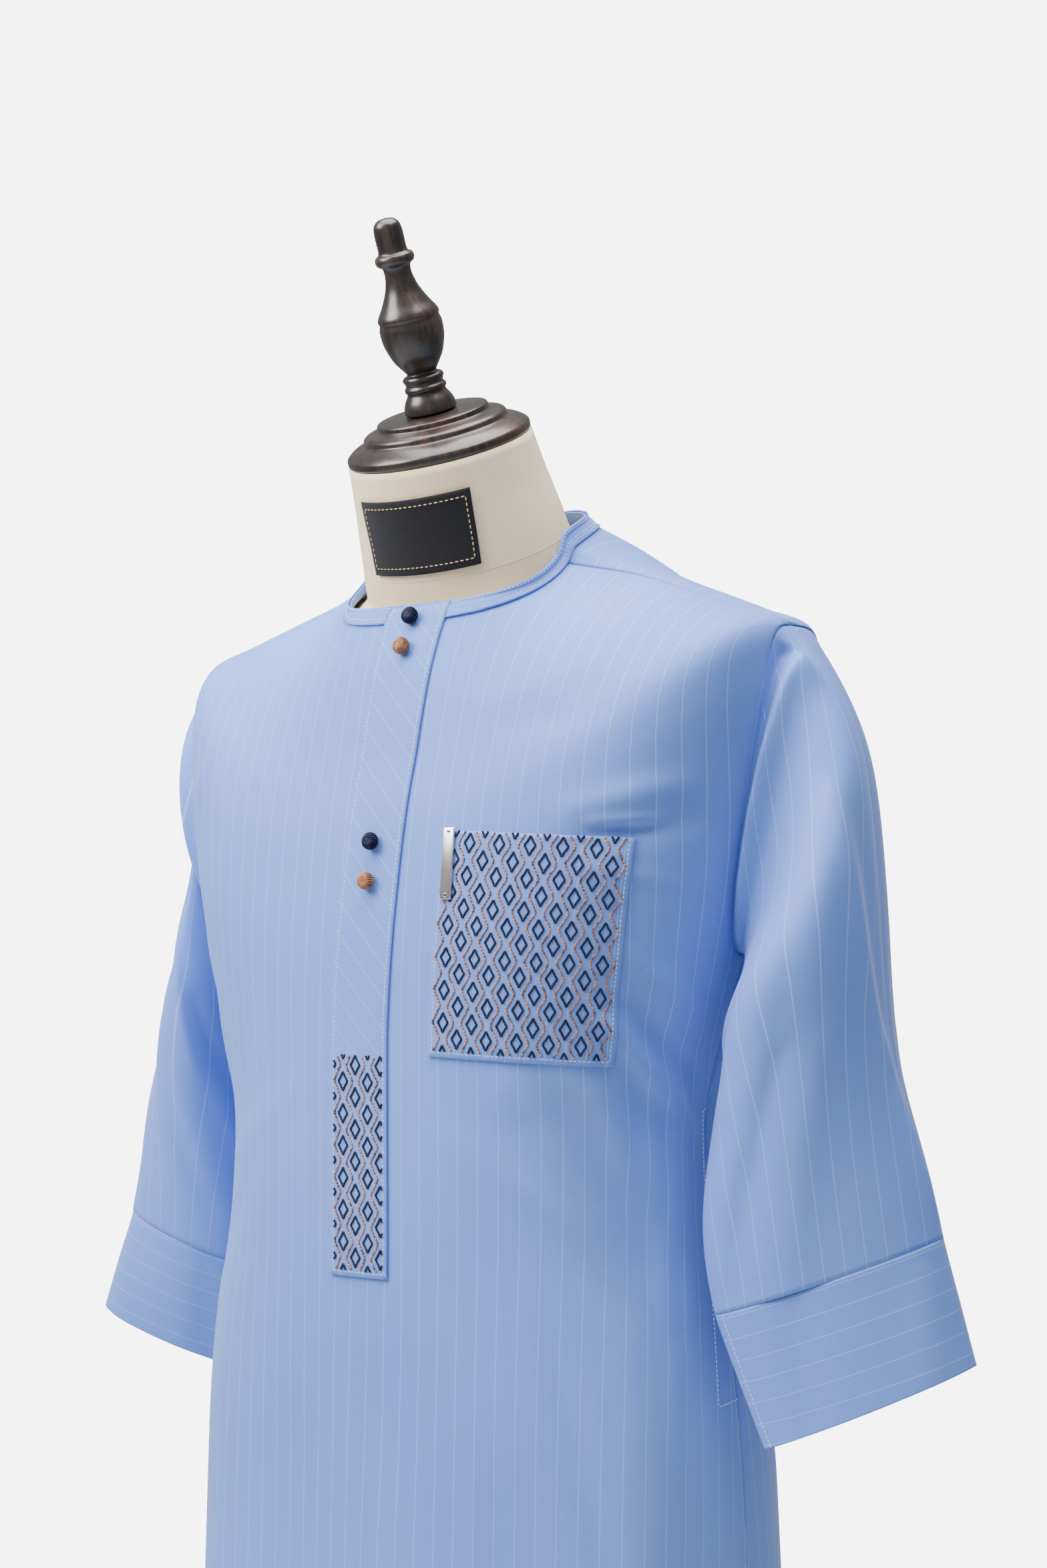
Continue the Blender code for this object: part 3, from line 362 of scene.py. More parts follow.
BACK_CREASES = (
    (0.020, 1.520, 0.090, 1.490, 0.0070, -0.0016),
    (0.060, 1.512, 0.150, 1.480, 0.0060, 0.0014),
    (-0.030, 1.490, -0.120, 1.462, 0.0080, -0.0012),
    (0.120, 1.420, 0.190, 1.330, 0.0100, 0.0016),
    (-0.120, 1.410, -0.190, 1.320, 0.0100, 0.0016),
    (0.160, 1.240, 0.205, 1.140, 0.0070, 0.0018),
    (-0.165, 1.235, -0.205, 1.130, 0.0070, 0.0018),
    (0.080, 1.160, 0.160, 1.090, 0.0110, -0.0014),
    (-0.070, 1.150, -0.160, 1.080, 0.0110, -0.0014),
    (0.205, 1.100, 0.214, 0.980, 0.0070, 0.0020),
    (-0.205, 1.100, -0.216, 0.970, 0.0070, 0.0020),
    (0.010, 1.120, 0.020, 0.960, 0.0120, -0.0012),
)

# Creases of the sleeves: turn round (0 outer side, 0.25 front, 0.5 inside, 0.75 back) and row at
# both ends, spread and height
LEFT_CREASES = (
    (0.200, 1.7, 0.070, 5.6, 0.0075, 0.0032),
    (0.170, 1.5, 0.020, 5.8, 0.0120, -0.0030),
    (0.070, 5.6, 0.010, 8.6, 0.0090, 0.0026),
    (0.360, 1.6, 0.350, 5.6, 0.0140, 0.0020),
    (0.400, 0.9, 0.410, 4.4, 0.0240, 0.0080),
    (0.310, 4.6, 0.380, 8.6, 0.0110, -0.0028),
    (0.230, 5.0, 0.300, 8.8, 0.0130, 0.0024),
    (0.42, 2.0, 0.52, 3.4, 0.0080, 0.0026),
    (0.56, 3.0, 0.66, 5.2, 0.0100, 0.0028),
    (0.70, 0.4, 0.76, 3.0, 0.0110, -0.0030),
    (0.80, 1.8, 0.90, 5.2, 0.0130, 0.0028),
    (0.72, 4.8, 0.84, 8.0, 0.0120, -0.0024),
    (0.92, 4.4, 0.99, 7.2, 0.0110, -0.0020),
)
RIGHT_CREASES = (
    (0.035, 0.0, 0.060, 8.8, 0.0110, 0.0026),
    (0.20, 3.4, 0.31, 5.6, 0.0090, 0.0028),
    (0.08, 3.6, 0.20, 6.8, 0.0130, 0.0026),
    (0.16, 5.2, 0.30, 8.0, 0.0100, -0.0024),
    (0.32, 4.4, 0.44, 6.6, 0.0080, -0.0024),
    (0.36, 6.0, 0.46, 8.2, 0.0080, 0.0024),
    (0.02, 5.2, 0.12, 8.4, 0.0120, 0.0026),
    (0.44, 2.0, 0.53, 3.6, 0.0080, 0.0024),
    (0.58, 2.6, 0.68, 5.0, 0.0100, 0.0028),
    (0.71, 0.6, 0.78, 3.2, 0.0110, -0.0030),
    (0.82, 2.0, 0.92, 5.4, 0.0130, 0.0026),
    (0.74, 5.0, 0.86, 8.2, 0.0120, -0.0024),
)

# The pinch of the near sleeve's head: turn, the ridge's distance from the armhole's seam, its
# height, and the depth of the hollow between it and the seam
PINCH = (
    (0.000, 0.030, 0.0000, 0.0000),
    (0.080, 0.0270, 0.0008, 0.0002),
    (0.102, 0.0235, 0.0080, 0.0060),
    (0.150, 0.0175, 0.0090, 0.0062),
    (0.200, 0.0130, 0.0096, 0.0050),
    (0.250, 0.0080, 0.0112, 0.0030),
    (0.300, 0.0060, 0.0124, 0.0012),
    (0.360, 0.0054, 0.0120, 0.0000),
    (0.430, 0.0054, 0.0076, 0.0000),
    (0.500, 0.0054, 0.0000, 0.0000),
    (1.000, 0.0300, 0.0000, 0.0000),
)
CUFF_CREASES = (
    (0.10, 9.2, 0.14, 11.0, 0.0140, 0.0018),
    (0.30, 9.1, 0.33, 11.0, 0.0120, -0.0018),
    (0.62, 9.2, 0.66, 11.0, 0.0130, 0.0016),
    (0.86, 9.2, 0.84, 11.0, 0.0140, -0.0016),
)


class KaftanCloth(bpy.types.PropertyGroup):
    """The suiting: its colours, stripes, twill and thickness."""

    colour: bpy.props.FloatVectorProperty(
        name="Suiting", description="Ground colour of the twill", subtype="COLOR", size=3,
        default=(0.158, 0.298, 0.830),
    )
    stripe: bpy.props.FloatVectorProperty(
        name="Pinstripe", description="Colour of the broken pinstripe", subtype="COLOR", size=3,
        default=(0.420, 0.600, 1.000),
    )
    pitch: bpy.props.FloatProperty(
        name="Stripe pitch", description="Distance from one pinstripe to the next",
        default=0.0140, unit="LENGTH",
    )
    stripe_width: bpy.props.FloatProperty(
        name="Stripe width", description="Width of a pinstripe", default=0.0006, unit="LENGTH",
    )
    twill: bpy.props.FloatProperty(
        name="Twill pitch", description="Distance between the twill's ribs", default=0.0010,
        unit="LENGTH",
    )
    thickness: bpy.props.FloatProperty(
        name="Cloth thickness", description="Thickness of the suiting", default=0.0010,
        unit="LENGTH",
    )


class KaftanTrim(bpy.types.PropertyGroup):
    """Threads, buttons and the bar."""

    navy: bpy.props.FloatVectorProperty(
        name="Navy thread", description="Diamonds and first buttons", subtype="COLOR", size=3,
        default=(0.002, 0.004, 0.030),
    )
    copper: bpy.props.FloatVectorProperty(
        name="Copper thread", description="Zigzags and second buttons", subtype="COLOR", size=3,
        default=(0.420, 0.165, 0.075),
    )
    pale: bpy.props.FloatVectorProperty(
        name="Sewing thread", description="Topstitching", subtype="COLOR", size=3,
        default=(0.600, 0.740, 1.000),
    )
    gold: bpy.props.FloatVectorProperty(
        name="Gold thread", description="Running stitch round the label", subtype="COLOR",
        size=3, default=(0.620, 0.420, 0.200),
    )
    stitch: bpy.props.FloatProperty(
        name="Stitch pitch", description="Distance between two topstitches", default=0.0030,
        unit="LENGTH",
    )


class FormFinish(bpy.types.PropertyGroup):
    """Linen and wood of the form."""

    linen: bpy.props.FloatVectorProperty(
        name="Linen", description="Covering of the form", subtype="COLOR", size=3,
        default=(1.000, 0.810, 0.520),
    )
    wood: bpy.props.FloatVectorProperty(
        name="Dark wood", description="Stain of the cap and finial", subtype="COLOR", size=3,
        default=(0.024, 0.016, 0.014),
    )


class StudioStage(bpy.types.PropertyGroup):
    """Camera, floor and light."""

    azimuth: bpy.props.FloatProperty(
        name="Azimuth", description="Camera's turn to the wearer's left of the front",
        default=math.radians(37.0), subtype="ANGLE",
    )
    distance: bpy.props.FloatProperty(
        name="Distance", description="From the camera to the form's axis", default=2.16,
        unit="LENGTH",
    )
    height: bpy.props.FloatProperty(
        name="Height", description="Camera's height", default=1.3124, unit="LENGTH",
    )
    aside: bpy.props.FloatProperty(
        name="Aside", description="How far the view passes beside the axis", default=0.0277,
        unit="LENGTH",
    )
    pitch: bpy.props.FloatProperty(
        name="Pitch", description="How far the camera looks up", default=math.atan(95.5 / 4660),
        subtype="ANGLE",
    )
    lens: bpy.props.FloatProperty(
        name="Lens", description="Focal length in millimetres", default=4660 / 2349 * 36,
    )
    pale: bpy.props.FloatVectorProperty(
        name="Surroundings", description="Colour of the floor and the air", subtype="COLOR",
        size=3, default=(0.880, 0.885, 0.900),
    )


# The garment's shape


def smooth_rows(rows, place):
    """Each column of a table at fractional rows, along a Catmull-Rom curve."""
    rows = np.asarray(rows)
    place = np.clip(np.asarray(place, float), 0, len(rows) - 1)
    low = np.minimum(place.astype(int), len(rows) - 2)
    part = (place - low)[..., None]
    before = rows[np.maximum(low - 1, 0)]
    start, end = rows[low], rows[low + 1]
    after = rows[np.minimum(low + 2, len(rows) - 1)]
    return start + 0.5 * part * (
        (end - before)
        + part * (2 * before - 5 * start + 4 * end - after
                  + part * (3 * (start - end) + after - before))
    )


def named_rows(columns, rows, place):
    values = smooth_rows(rows, place)
    return {name: values[..., index] for index, name in enumerate(columns)}


def plain_body_point(angle, place):
    """The body's surface without folds. The angle is 0 at the front and positive to the left."""
    row = named_rows(BODY_COLUMNS, BODY_ROWS, place)
    facing = np.cos(angle) >= 0
    bend = 2 / row["squareness"]
    end_y = np.where(facing, row["front_y"], row["back_y"])
    end_z = np.where(facing, row["front_z"], row["back_z"])
    depth = np.abs(np.cos(angle))
    x = row["half_width"] * np.sign(np.sin(angle)) * np.abs(np.sin(angle)) ** bend
    y = row["mid_y"] + (end_y - row["mid_y"]) * depth ** bend
    z = row["side_z"] + (end_z - row["side_z"]) * depth ** row["rise"]
    tilt = np.where(x > 0, SHOULDER_RISE_LEFT, SHOULDER_DROP_RIGHT)
    z = z + tilt * x * np.clip(1 - np.asarray(place) / SHOULDER_TILT_ENDS, 0, 1)
    return np.stack([x, y, z], axis=-1)


def unit(vectors):
    return vectors / np.maximum(np.linalg.norm(vectors, axis=-1, keepdims=True), 1e-12)


def body_normal(angle, place):
    step = 0.01
    round_it = plain_body_point(angle + step, place) - plain_body_point(angle - step, place)
    down_it = (plain_body_point(angle, np.minimum(place + step, HEM_ROW))
               - plain_body_point(angle, np.maximum(place - step, 0)))
    return unit(np.cross(down_it, round_it))


SAMPLE_ANGLES = np.linspace(0, math.pi / 2, 91)


def quarter_lengths(place):
    """Distance round a row from the middle of the front, at each sample angle."""
    points = plain_body_point(SAMPLE_ANGLES, np.full(SAMPLE_ANGLES.shape, float(place)))
    steps = np.linalg.norm(np.diff(points, axis=0), axis=1)
    return np.concatenate([[0], np.cumsum(steps)])


GIRTH_ROWS = np.array([quarter_lengths(place) for place in range(len(BODY_ROWS))])


def girth_at(angle, place):
    """Distance round from the middle of the front or back, positive to the wearer's left."""
    angle = np.mod(angle + math.pi, 2 * math.pi) - math.pi
    turned = np.where(np.cos(angle) >= 0, np.abs(angle), math.pi - np.abs(angle))
    lengths = smooth_rows(GIRTH_ROWS, place)
    spot = np.clip(turned / SAMPLE_ANGLES[1], 0, len(SAMPLE_ANGLES) - 1.001)
    low = spot.astype(int)
    near = np.take_along_axis(lengths, low[..., None], -1)[..., 0]
    far = np.take_along_axis(lengths, low[..., None] + 1, -1)[..., 0]
    return np.sign(angle) * (near + (far - near) * (spot - low))


def soft_ridge(across, down, run, spread, ends):
    """Share of a crease's height at distances across and down from its start."""
    calm, stretch = ends
    reach = np.hypot(*run)
    along = (across * run[0] + down * run[1]) / reach ** 2
    beside = (across * run[1] - down * run[0]) / reach
    beyond = np.maximum(np.maximum(-along, along - 1), 0) * reach
    swell = calm + (1 - calm) * np.sin(math.pi * np.clip(along, 0, 1))
    return swell * np.exp(-(beside / spread) ** 2 - (beyond / (stretch * spread)) ** 2)


def fold_height(girth, z, folds):
    """Sum of the soft ridges and troughs at a place on a panel."""
    total = np.zeros(np.shape(girth))
    for girth_a, z_a, girth_b, z_b, spread, height in folds:
        run = (girth_b - girth_a, z_b - z_a)
        total += height * soft_ridge(girth - girth_a, z - z_a, run, spread, PANEL_CREASE_ENDS)
    return total


def body_point(angle, place, lift=0.0):
    """A point of the folded cloth, moved out from it by the lift."""
    angle, place = np.broadcast_arrays(np.asarray(angle, float), np.asarray(place, float))
    plain = plain_body_point(angle, place)
    girth = girth_at(angle, place)
    fold = np.where(
        np.cos(angle) >= 0,
        fold_height(girth, plain[..., 2], FRONT_FOLDS + FRONT_CREASES),
        fold_height(girth, plain[..., 2], BACK_FOLDS + BACK_CREASES),
    )
    side = np.cos(angle) ** 2
    fold *= side / (side + FOLD_FADE)
    return plain + body_normal(angle, place) * (fold + lift)[..., None]


def seam_angle(place):
    return np.radians(named_rows(BODY_COLUMNS, BODY_ROWS, place)["seam"])


def armhole_bulge(place):
    """0 at the shoulder tip and at the underarm, 1 half way down the armhole."""
    down = (np.asarray(place, float) - SHOULDER_ROW) / (UNDERARM_ROW - SHOULDER_ROW)
    return np.where((down > 0) & (down < 1), np.sin(np.arccos(np.clip(1 - 2 * down, -1, 1))), 0)


def armhole_places():
    turn = np.linspace(0, math.pi, ARMHOLE_STEPS)
    return SHOULDER_ROW + (UNDERARM_ROW - SHOULDER_ROW) * (1 - np.cos(turn)) / 2


def front_edge(place):
    """Angle of the front panel's edge: the shoulder seam, then the armhole, then the side seam."""
    return seam_angle(place) - ARMHOLE_FRONT * armhole_bulge(place)


def back_edge(place):
    return seam_angle(place) + ARMHOLE_BACK * armhole_bulge(place)


def armhole_loop(side):
    """The armhole's edge, from the tip down the front and up the back, turned to +X."""
    places = armhole_places()
    front = body_point(side * front_edge(places), places)
    back = body_point(side * back_edge(places), places)
    return np.concatenate([front, back[-2:0:-1]]) * np.array([side, 1, 1])


def armhole_frame(side):
    """The armhole's loop with the way the cloth runs on into the sleeve and its outward normal."""
    places = armhole_places()
    angles = np.concatenate([front_edge(places), back_edge(places)[-2:0:-1]])
    rows = np.concatenate([places, places[-2:0:-1]])
    loop = armhole_loop(side)
    along = unit(np.roll(loop, -1, axis=0) - np.roll(loop, 1, axis=0))
    normal = body_normal(side * angles, rows) * np.array([side, 1, 1])
    return loop, unit(np.cross(normal, along)), normal


def sleeve_ring(place, side):
    """One ring of a sleeve at +X, turning from the outer side to the front, inside and back."""
    row = named_rows(SLEEVE_COLUMNS, LEFT_SLEEVE_ROWS if side > 0 else RIGHT_SLEEVE_ROWS, place)
    half = np.linspace(0, math.pi, ARMHOLE_STEPS)
    turn = np.concatenate([half, math.pi + half[1:-1]])
    outer = np.array([row["outer_x"], row["outer_y"], row["outer_z"]])
    inner = np.array([row["inner_x"], row["inner_y"], row["inner_z"]])
    forward = unit(np.array([outer[1] - inner[1], inner[0] - outer[0], 0])) * row["front"]
    backward = np.array([0, row["back"], 0])
    bulge = (np.abs(np.sin(turn)) ** (2 / SLEEVE_SQUARENESS))[:, None]
    ring = (outer + inner) / 2 + (outer - inner) / 2 * np.cos(turn)[:, None]
    ring = ring + bulge * np.where(np.sin(turn)[:, None] > 0, forward, backward)
    loop, tangent, _ = armhole_frame(side)
    away = loop + tangent * 2 * ROLL_OUT
    return away + (ring - away) * np.clip(row["settle"], 0, 1)


def section_at(z):
    """Angles, rows and girths of the front along a level line at this height."""
    low = np.zeros(SAMPLE_ANGLES.shape)
    high = np.full(SAMPLE_ANGLES.shape, HEM_ROW)
    for _ in range(30):
        middle = (low + high) / 2
        above = plain_body_point(SAMPLE_ANGLES, middle)[:, 2] > z
        low, high = np.where(above, middle, low), np.where(above, high, middle)
    points = plain_body_point(SAMPLE_ANGLES, low)
    steps = np.linalg.norm(np.diff(points, axis=0), axis=1)
    return low, np.concatenate([[0], np.cumsum(steps)])


def on_front(girth, z, lift):
    """A point on the front panel at a girth from its middle, along a level line."""
    rows, lengths = section_at(z)
    angle = np.interp(abs(girth), lengths, SAMPLE_ANGLES)
    row = np.interp(angle, SAMPLE_ANGLES, rows)
    return body_point(math.copysign(angle, girth), row, lift)


def placket_middle(z):
    """The placket leans a little to the wearer's left towards the neckline."""
    neck_z = BODY_ROWS[0][0]
    up = min(max((z - PLACKET_STRAIGHT_Z) / (neck_z - PLACKET_STRAIGHT_Z), 0), 1)
    return PLACKET_TOP_SHIFT * up


def facing_matrix(point, beside, below):
    """Axes at a point of the cloth: X to the wearer's left, Y into the cloth and Z up."""
    across = Vector(beside) - Vector(point)
    down = Vector(below) - Vector(point)
    inwards = across.cross(down).normalized()
    up = -down.normalized()
    turn = Matrix((inwards.cross(up), inwards, up)).transposed().to_4x4()
    return Matrix.Translation(Vector(point)) @ turn


def placket_point(across, z, lift):
    return on_front(placket_middle(z) + across * PLACKET_WIDTH / 2, z, lift)


def neck_ring(place, turns, lift=0.0):
    """A leaning ring of the form's neck. Turn 0 is at the front, positive to the wearer's left."""
    row = named_rows(NECK_COLUMNS, NECK_ROWS, place)
    lean = np.radians(row["lean"])
    out = (row["half_depth"] + lift) * np.cos(turns)
    x = (row["half_width"] + lift) * np.sin(turns)
    y = row["y"] - out * np.cos(lean)
    z = row["z"] - out * np.sin(lean)
    return np.stack(np.broadcast_arrays(x, y, z), axis=-1)


def form_bottom():
    return float(named_rows(BODY_COLUMNS, BODY_ROWS, HIP_ROW)["front_z"])


def neck_frame():
    """Place and lean of the neck's flat top, which carries the cap."""
    top = NECK_ROWS[0]
    lean = Matrix.Rotation(math.radians(top[4]), 4, "X")
    return Matrix.Translation(Vector((0, top[0], top[1]))) @ lean


# Selecting, making and finishing


def deselect_all():
    for other in bpy.context.view_layer.objects:
        other.select_set(False)


def make_active(piece):
    deselect_all()
    piece.select_set(True)
    bpy.context.view_layer.objects.active = piece


def edit(piece):
    make_active(piece)
    bpy.ops.object.mode_set(mode="EDIT")


def leave_edit():
    bpy.ops.object.mode_set(mode="OBJECT")


def apply_all(piece):
    make_active(piece)
    for modifier in list(piece.modifiers):
        bpy.ops.object.modifier_apply(modifier=modifier.name)


def place(piece, matrix):
    """Puts a piece's place into its mesh and leaves its object at the origin."""
    piece.data.transform(matrix @ piece.matrix_world)
    piece.matrix_world = Matrix.Identity(4)


def link_mesh(mesh):
    made = bpy.data.objects.new(mesh.name, mesh)
    bpy.context.scene.collection.objects.link(made)
    return made


def join_all(pieces):
    """Joins pieces into the first of them."""
    make_active(pieces[0])
    for piece in pieces:
        piece.select_set(True)
    bpy.ops.object.join()


def taken_apart(piece):
    """Points and faces of a shape that is modelled once and copied. The piece itself goes."""
    points = np.array([tuple(vert.co) for vert in piece.data.vertices])
    faces = [tuple(face.vertices) for face in piece.data.polygons]
    bpy.data.objects.remove(piece, do_unlink=True)
    return points, faces


def dress(piece, material, slot, *nodes):
    """Gives a finished piece its material, sets it on the root body and hides the nodes that it
    stands for.
    """
    piece.data.materials.clear()
    piece.data.materials.append(material)
    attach(piece, "root")
    if nodes:
        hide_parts(*nodes)
    return piece


# Materials


class Shading:
    """Node tree of one material, with short calls for its nodes."""

    def __init__(self, name, roughness, metallic=0.0, **sockets):
        self.material = bpy.data.materials.new(name)
        self.material.use_nodes = True
        self.tree = self.material.node_tree
        self.shader = self.tree.nodes["Principled BSDF"]
        self.shader.inputs["Roughness"].default_value = roughness
        self.shader.inputs["Metallic"].default_value = metallic
        for socket, value in sockets.items():
            self.shader.inputs[socket.replace("_", " ")].default_value = value

    def add(self, kind, **values):
        made = self.tree.nodes.new(kind)
        for key, value in values.items():
            setattr(made, key, value)
        return made

    def link(self, source, target):
        self.tree.links.new(source, target)

    def feed(self, socket, value):
        if isinstance(value, bpy.types.NodeSocket):
            self.link(value, socket)
        elif isinstance(value, tuple) and len(value) == 3 and socket.type == "RGBA":
            socket.default_value = (*value, 1)
        else:
            socket.default_value = value

    def math(self, operation, first, second=0.0, third=0.0):
        made = self.add("ShaderNodeMath", operation=operation)
        for socket, value in zip(made.inputs, (first, second, third)):
            self.feed(socket, value)
        return made.outputs[0]

    def uv(self):
        made = self.add("ShaderNodeUVMap", uv_map="cloth")
        split = self.add("ShaderNodeSeparateXYZ")
        self.link(made.outputs[0], split.inputs[0])
        return split.outputs[0], split.outputs[1]

    def crossed(self, warp, weft):
        """Crossed threads at these pitches, from -1 to 1."""
        waves = [self.math("SINE", self.math("MULTIPLY", way, math.tau / pitch))
                 for way, pitch in zip(self.uv(), (warp, weft))]
        return self.math("MULTIPLY", *waves)

    def object_point(self, matrix=None):
        """Object coordinates, turned into a piece's own axes by a Mapping node."""
        made = self.add("ShaderNodeTexCoord")
        if matrix is None:
            return made.outputs["Object"]
        mapping = self.add("ShaderNodeMapping", vector_type="POINT")
        inverse = matrix.inverted()
        mapping.inputs["Location"].default_value = inverse.to_translation()
        mapping.inputs["Rotation"].default_value = inverse.to_euler()
        self.link(made.outputs["Object"], mapping.inputs["Vector"])
        return mapping.outputs[0]

    def noise(self, vector, scale, detail=3.0, roughness=0.5, distortion=0.0):
        made = self.add("ShaderNodeTexNoise")
        self.link(vector, made.inputs["Vector"])
        made.inputs["Scale"].default_value = scale
        made.inputs["Detail"].default_value = detail
        made.inputs["Roughness"].default_value = roughness
        made.inputs["Distortion"].default_value = distortion
        return made.outputs["Fac"]

    def ramp(self, value, low, high, to_low=0.0, to_high=1.0):
        made = self.add("ShaderNodeMapRange")
        for socket, number in zip(made.inputs[:5], (value, low, high, to_low, to_high)):
            self.feed(socket, number)
        return made.outputs[0]

    def mix(self, factor, first, second, blend_type="MIX"):
        made = self.add("ShaderNodeMix", data_type="RGBA", blend_type=blend_type)
        self.feed(made.inputs[0], factor)
        self.feed(made.inputs[6], first)
        self.feed(made.inputs[7], second)
        return made.outputs[2]

    def colour(self, value):
        self.feed(self.shader.inputs["Base Color"], value)

    def bump(self, height, distance, strength=1.0):
        made = self.add("ShaderNodeBump")
        made.inputs["Strength"].default_value = strength
        made.inputs["Distance"].default_value = distance
        self.link(height, made.inputs["Height"])
        self.link(made.outputs[0], self.shader.inputs["Normal"])


def suiting(name, cloth, ground=None):
    """Twill with a thin broken pinstripe. The map's U runs across the stripes, in metres."""
    shade = Shading(
        name, 0.60, Sheen_Weight=0.20, Sheen_Roughness=0.45, Specular_IOR_Level=0.30,
    )
    shade.shader.inputs["Sheen Tint"].default_value = (0.90, 0.93, 1.0, 1)
    u, v = shade.uv()
    point = shade.object_point()
    beside = shade.math("ABSOLUTE", shade.math("SUBTRACT", shade.math(
        "FRACT", shade.math("DIVIDE", u, cloth.pitch)), 0.5))
    half = cloth.stripe_width / cloth.pitch / 2
    line = shade.ramp(beside, half * 0.6, half * 1.5, 1.0, 0.0)
    dash = shade.math("FRACT", shade.math("DIVIDE", v, 0.0022))
    dash = shade.ramp(shade.math("PINGPONG", dash, 0.5), 0.10, 0.20, 0.35, 1.0)
    rib = shade.math("SINE", shade.math("MULTIPLY", shade.math(
        "ADD", u, shade.math("MULTIPLY", v, 0.8)), math.tau / cloth.twill))
    fade = shade.noise(point, 3.0, 2.0)
    slub = shade.noise(point, 900.0, 2.0)
    tone = tuple(ground or cloth.colour)
    deep = tuple(part * 0.90 for part in tone)
    light = tuple(min(part * 1.08 + 0.01, 1) for part in tone)
    base = shade.mix(shade.ramp(fade, 0.35, 0.65), deep, light)
    weave = shade.math("ADD", shade.math("MULTIPLY", rib, 0.10), shade.ramp(slub, 0, 1, 0.3, 0.7))
    base = shade.mix(shade.ramp(weave, 0.3, 0.7), shade.mix(0.10, base, (0, 0, 0.02)), base)
    stripe = shade.math("MULTIPLY", shade.math("MULTIPLY", line, dash), 0.52)
    shade.colour(shade.mix(stripe, base, tuple(cloth.stripe)))
    shade.bump(shade.math("ADD", weave, shade.math("MULTIPLY", line, 0.4)), 0.00012, 0.55)
    return shade.material


def thread(name, colour, spread=0.25, shine=0.5):
    """Twisted thread, uneven in tone along its length."""
    shade = Shading(name, 0.58, Sheen_Weight=0.10, Sheen_Roughness=0.3, Specular_IOR_Level=shine)
    point = shade.object_point()
    tone = tuple(colour)
    dark = tuple(part * (1 - spread) for part in tone)
    light = tuple(min(part * (1 + spread) + 0.02 * spread, 1) for part in tone)
    shade.colour(shade.mix(shade.ramp(shade.noise(point, 260.0, 2.0), 0.35, 0.65), dark, light))
    shade.bump(shade.noise(point, 3500.0, 2.0), 0.00008, 0.5)
    return shade.material


def variegated(name, trim):
    """The zigzags' thread, which runs through copper, rust and pale rose."""
    shade = Shading(name, 0.50, Sheen_Weight=0.10, Sheen_Roughness=0.3)
    point = shade.object_point()
    run = shade.noise(point, 320.0, 1.0)
    rust = tuple(part * 0.22 for part in trim.copper)
    rose = tuple(min(part * 1.5 + 0.02, 1) for part in trim.copper)
    tone = shade.mix(shade.ramp(run, 0.34, 0.50), rust, tuple(trim.copper))
    shade.colour(shade.mix(shade.ramp(run, 0.52, 0.66), tone, rose))
    shade.bump(shade.noise(point, 3000.0, 2.0), 0.00008, 0.5)
    return shade.material


def linen_cloth(name, colour):
    """Plain weave, seen as fine crossed threads."""
    shade = Shading(name, 0.80, Sheen_Weight=0.15, Sheen_Roughness=0.5, Specular_IOR_Level=0.25)
    weave = shade.crossed(0.0009, 0.0009)
    point = shade.object_point()
    slub = shade.noise(point, 700.0, 2.0)
    tone = tuple(colour)
    deep = tuple(part * 0.92 for part in tone)
    fade = shade.ramp(shade.noise(point, 12.0, 3.0), 0.3, 0.7)
    base = shade.mix(fade, tuple(part * 0.97 for part in tone), tone)
    shade.colour(shade.mix(shade.ramp(shade.math("ADD", shade.math(
        "MULTIPLY", weave, 0.25), slub), 0.45, 0.25, 0.0, 0.5), base, deep))
    shade.bump(shade.math("ADD", weave, slub), 0.00012, 0.5)
    return shade.material


def black_weave(name):
    shade = Shading(name, 0.75, Sheen_Weight=0.2, Sheen_Roughness=0.4, Specular_IOR_Level=0.25)
    weave = shade.crossed(0.0012, 0.0008)
    shade.colour(shade.mix(shade.ramp(weave, -1, 1), (0.006, 0.006, 0.008), (0.018, 0.018, 0.022)))
    shade.bump(weave, 0.00012, 0.6)
    return shade.material


def stained_wood(name, colour, matrix):
    """Dark turned wood: grain along the piece, redder where the stain has worn thin."""
    shade = Shading(name, 0.34, Coat_Weight=0.35, Coat_Roughness=0.22)
    point = shade.object_point(matrix)
    stretch = shade.add("ShaderNodeMapping")
    stretch.inputs["Scale"].default_value = (60, 60, 7)
    shade.link(point, stretch.inputs["Vector"])
    grain = shade.noise(stretch.outputs[0], 2.6, 5.0, 0.6, 1.2)
    pores = shade.noise(stretch.outputs[0], 14.0, 3.0)
    worn = shade.noise(point, 26.0, 2.0)
    tone = tuple(colour)
    black = tuple(part * 0.45 for part in tone)
    red = (tone[0] * 2.4, tone[1] * 1.6, tone[2] * 1.3)
    base = shade.mix(shade.ramp(grain, 0.38, 0.62), black, tone)
    base = shade.mix(shade.ramp(shade.math("MULTIPLY", worn, grain), 0.24, 0.40), base, red)
    shade.colour(shade.mix(shade.ramp(pores, 0.62, 0.72), base, black))
    shade.bump(shade.math("ADD", grain, shade.math("MULTIPLY", pores, 0.5)), 0.0003, 0.25)
    return shade.material


def uneven_metal(name, roughness, metallic, cloud, tones, grain, depth):
    """Metal a little uneven in tone. Cloud is the noise's scale, its detail and the ramp's start."""
    shade = Shading(name, roughness, metallic)
    point = shade.object_point()
    scale, detail, low = cloud
    shade.colour(shade.mix(shade.ramp(shade.noise(point, scale, detail), low, 1 - low), *tones))
    shade.bump(shade.noise(point, grain, 2.0), depth, 0.3)
    return shade.material


def polished_bar(name):
    tones = ((0.72, 0.66, 0.63), (0.86, 0.85, 0.86))
    return uneven_metal(name, 0.24, 1.0, (60.0, 2.0, 0.35), tones, 1500.0, 0.00003)


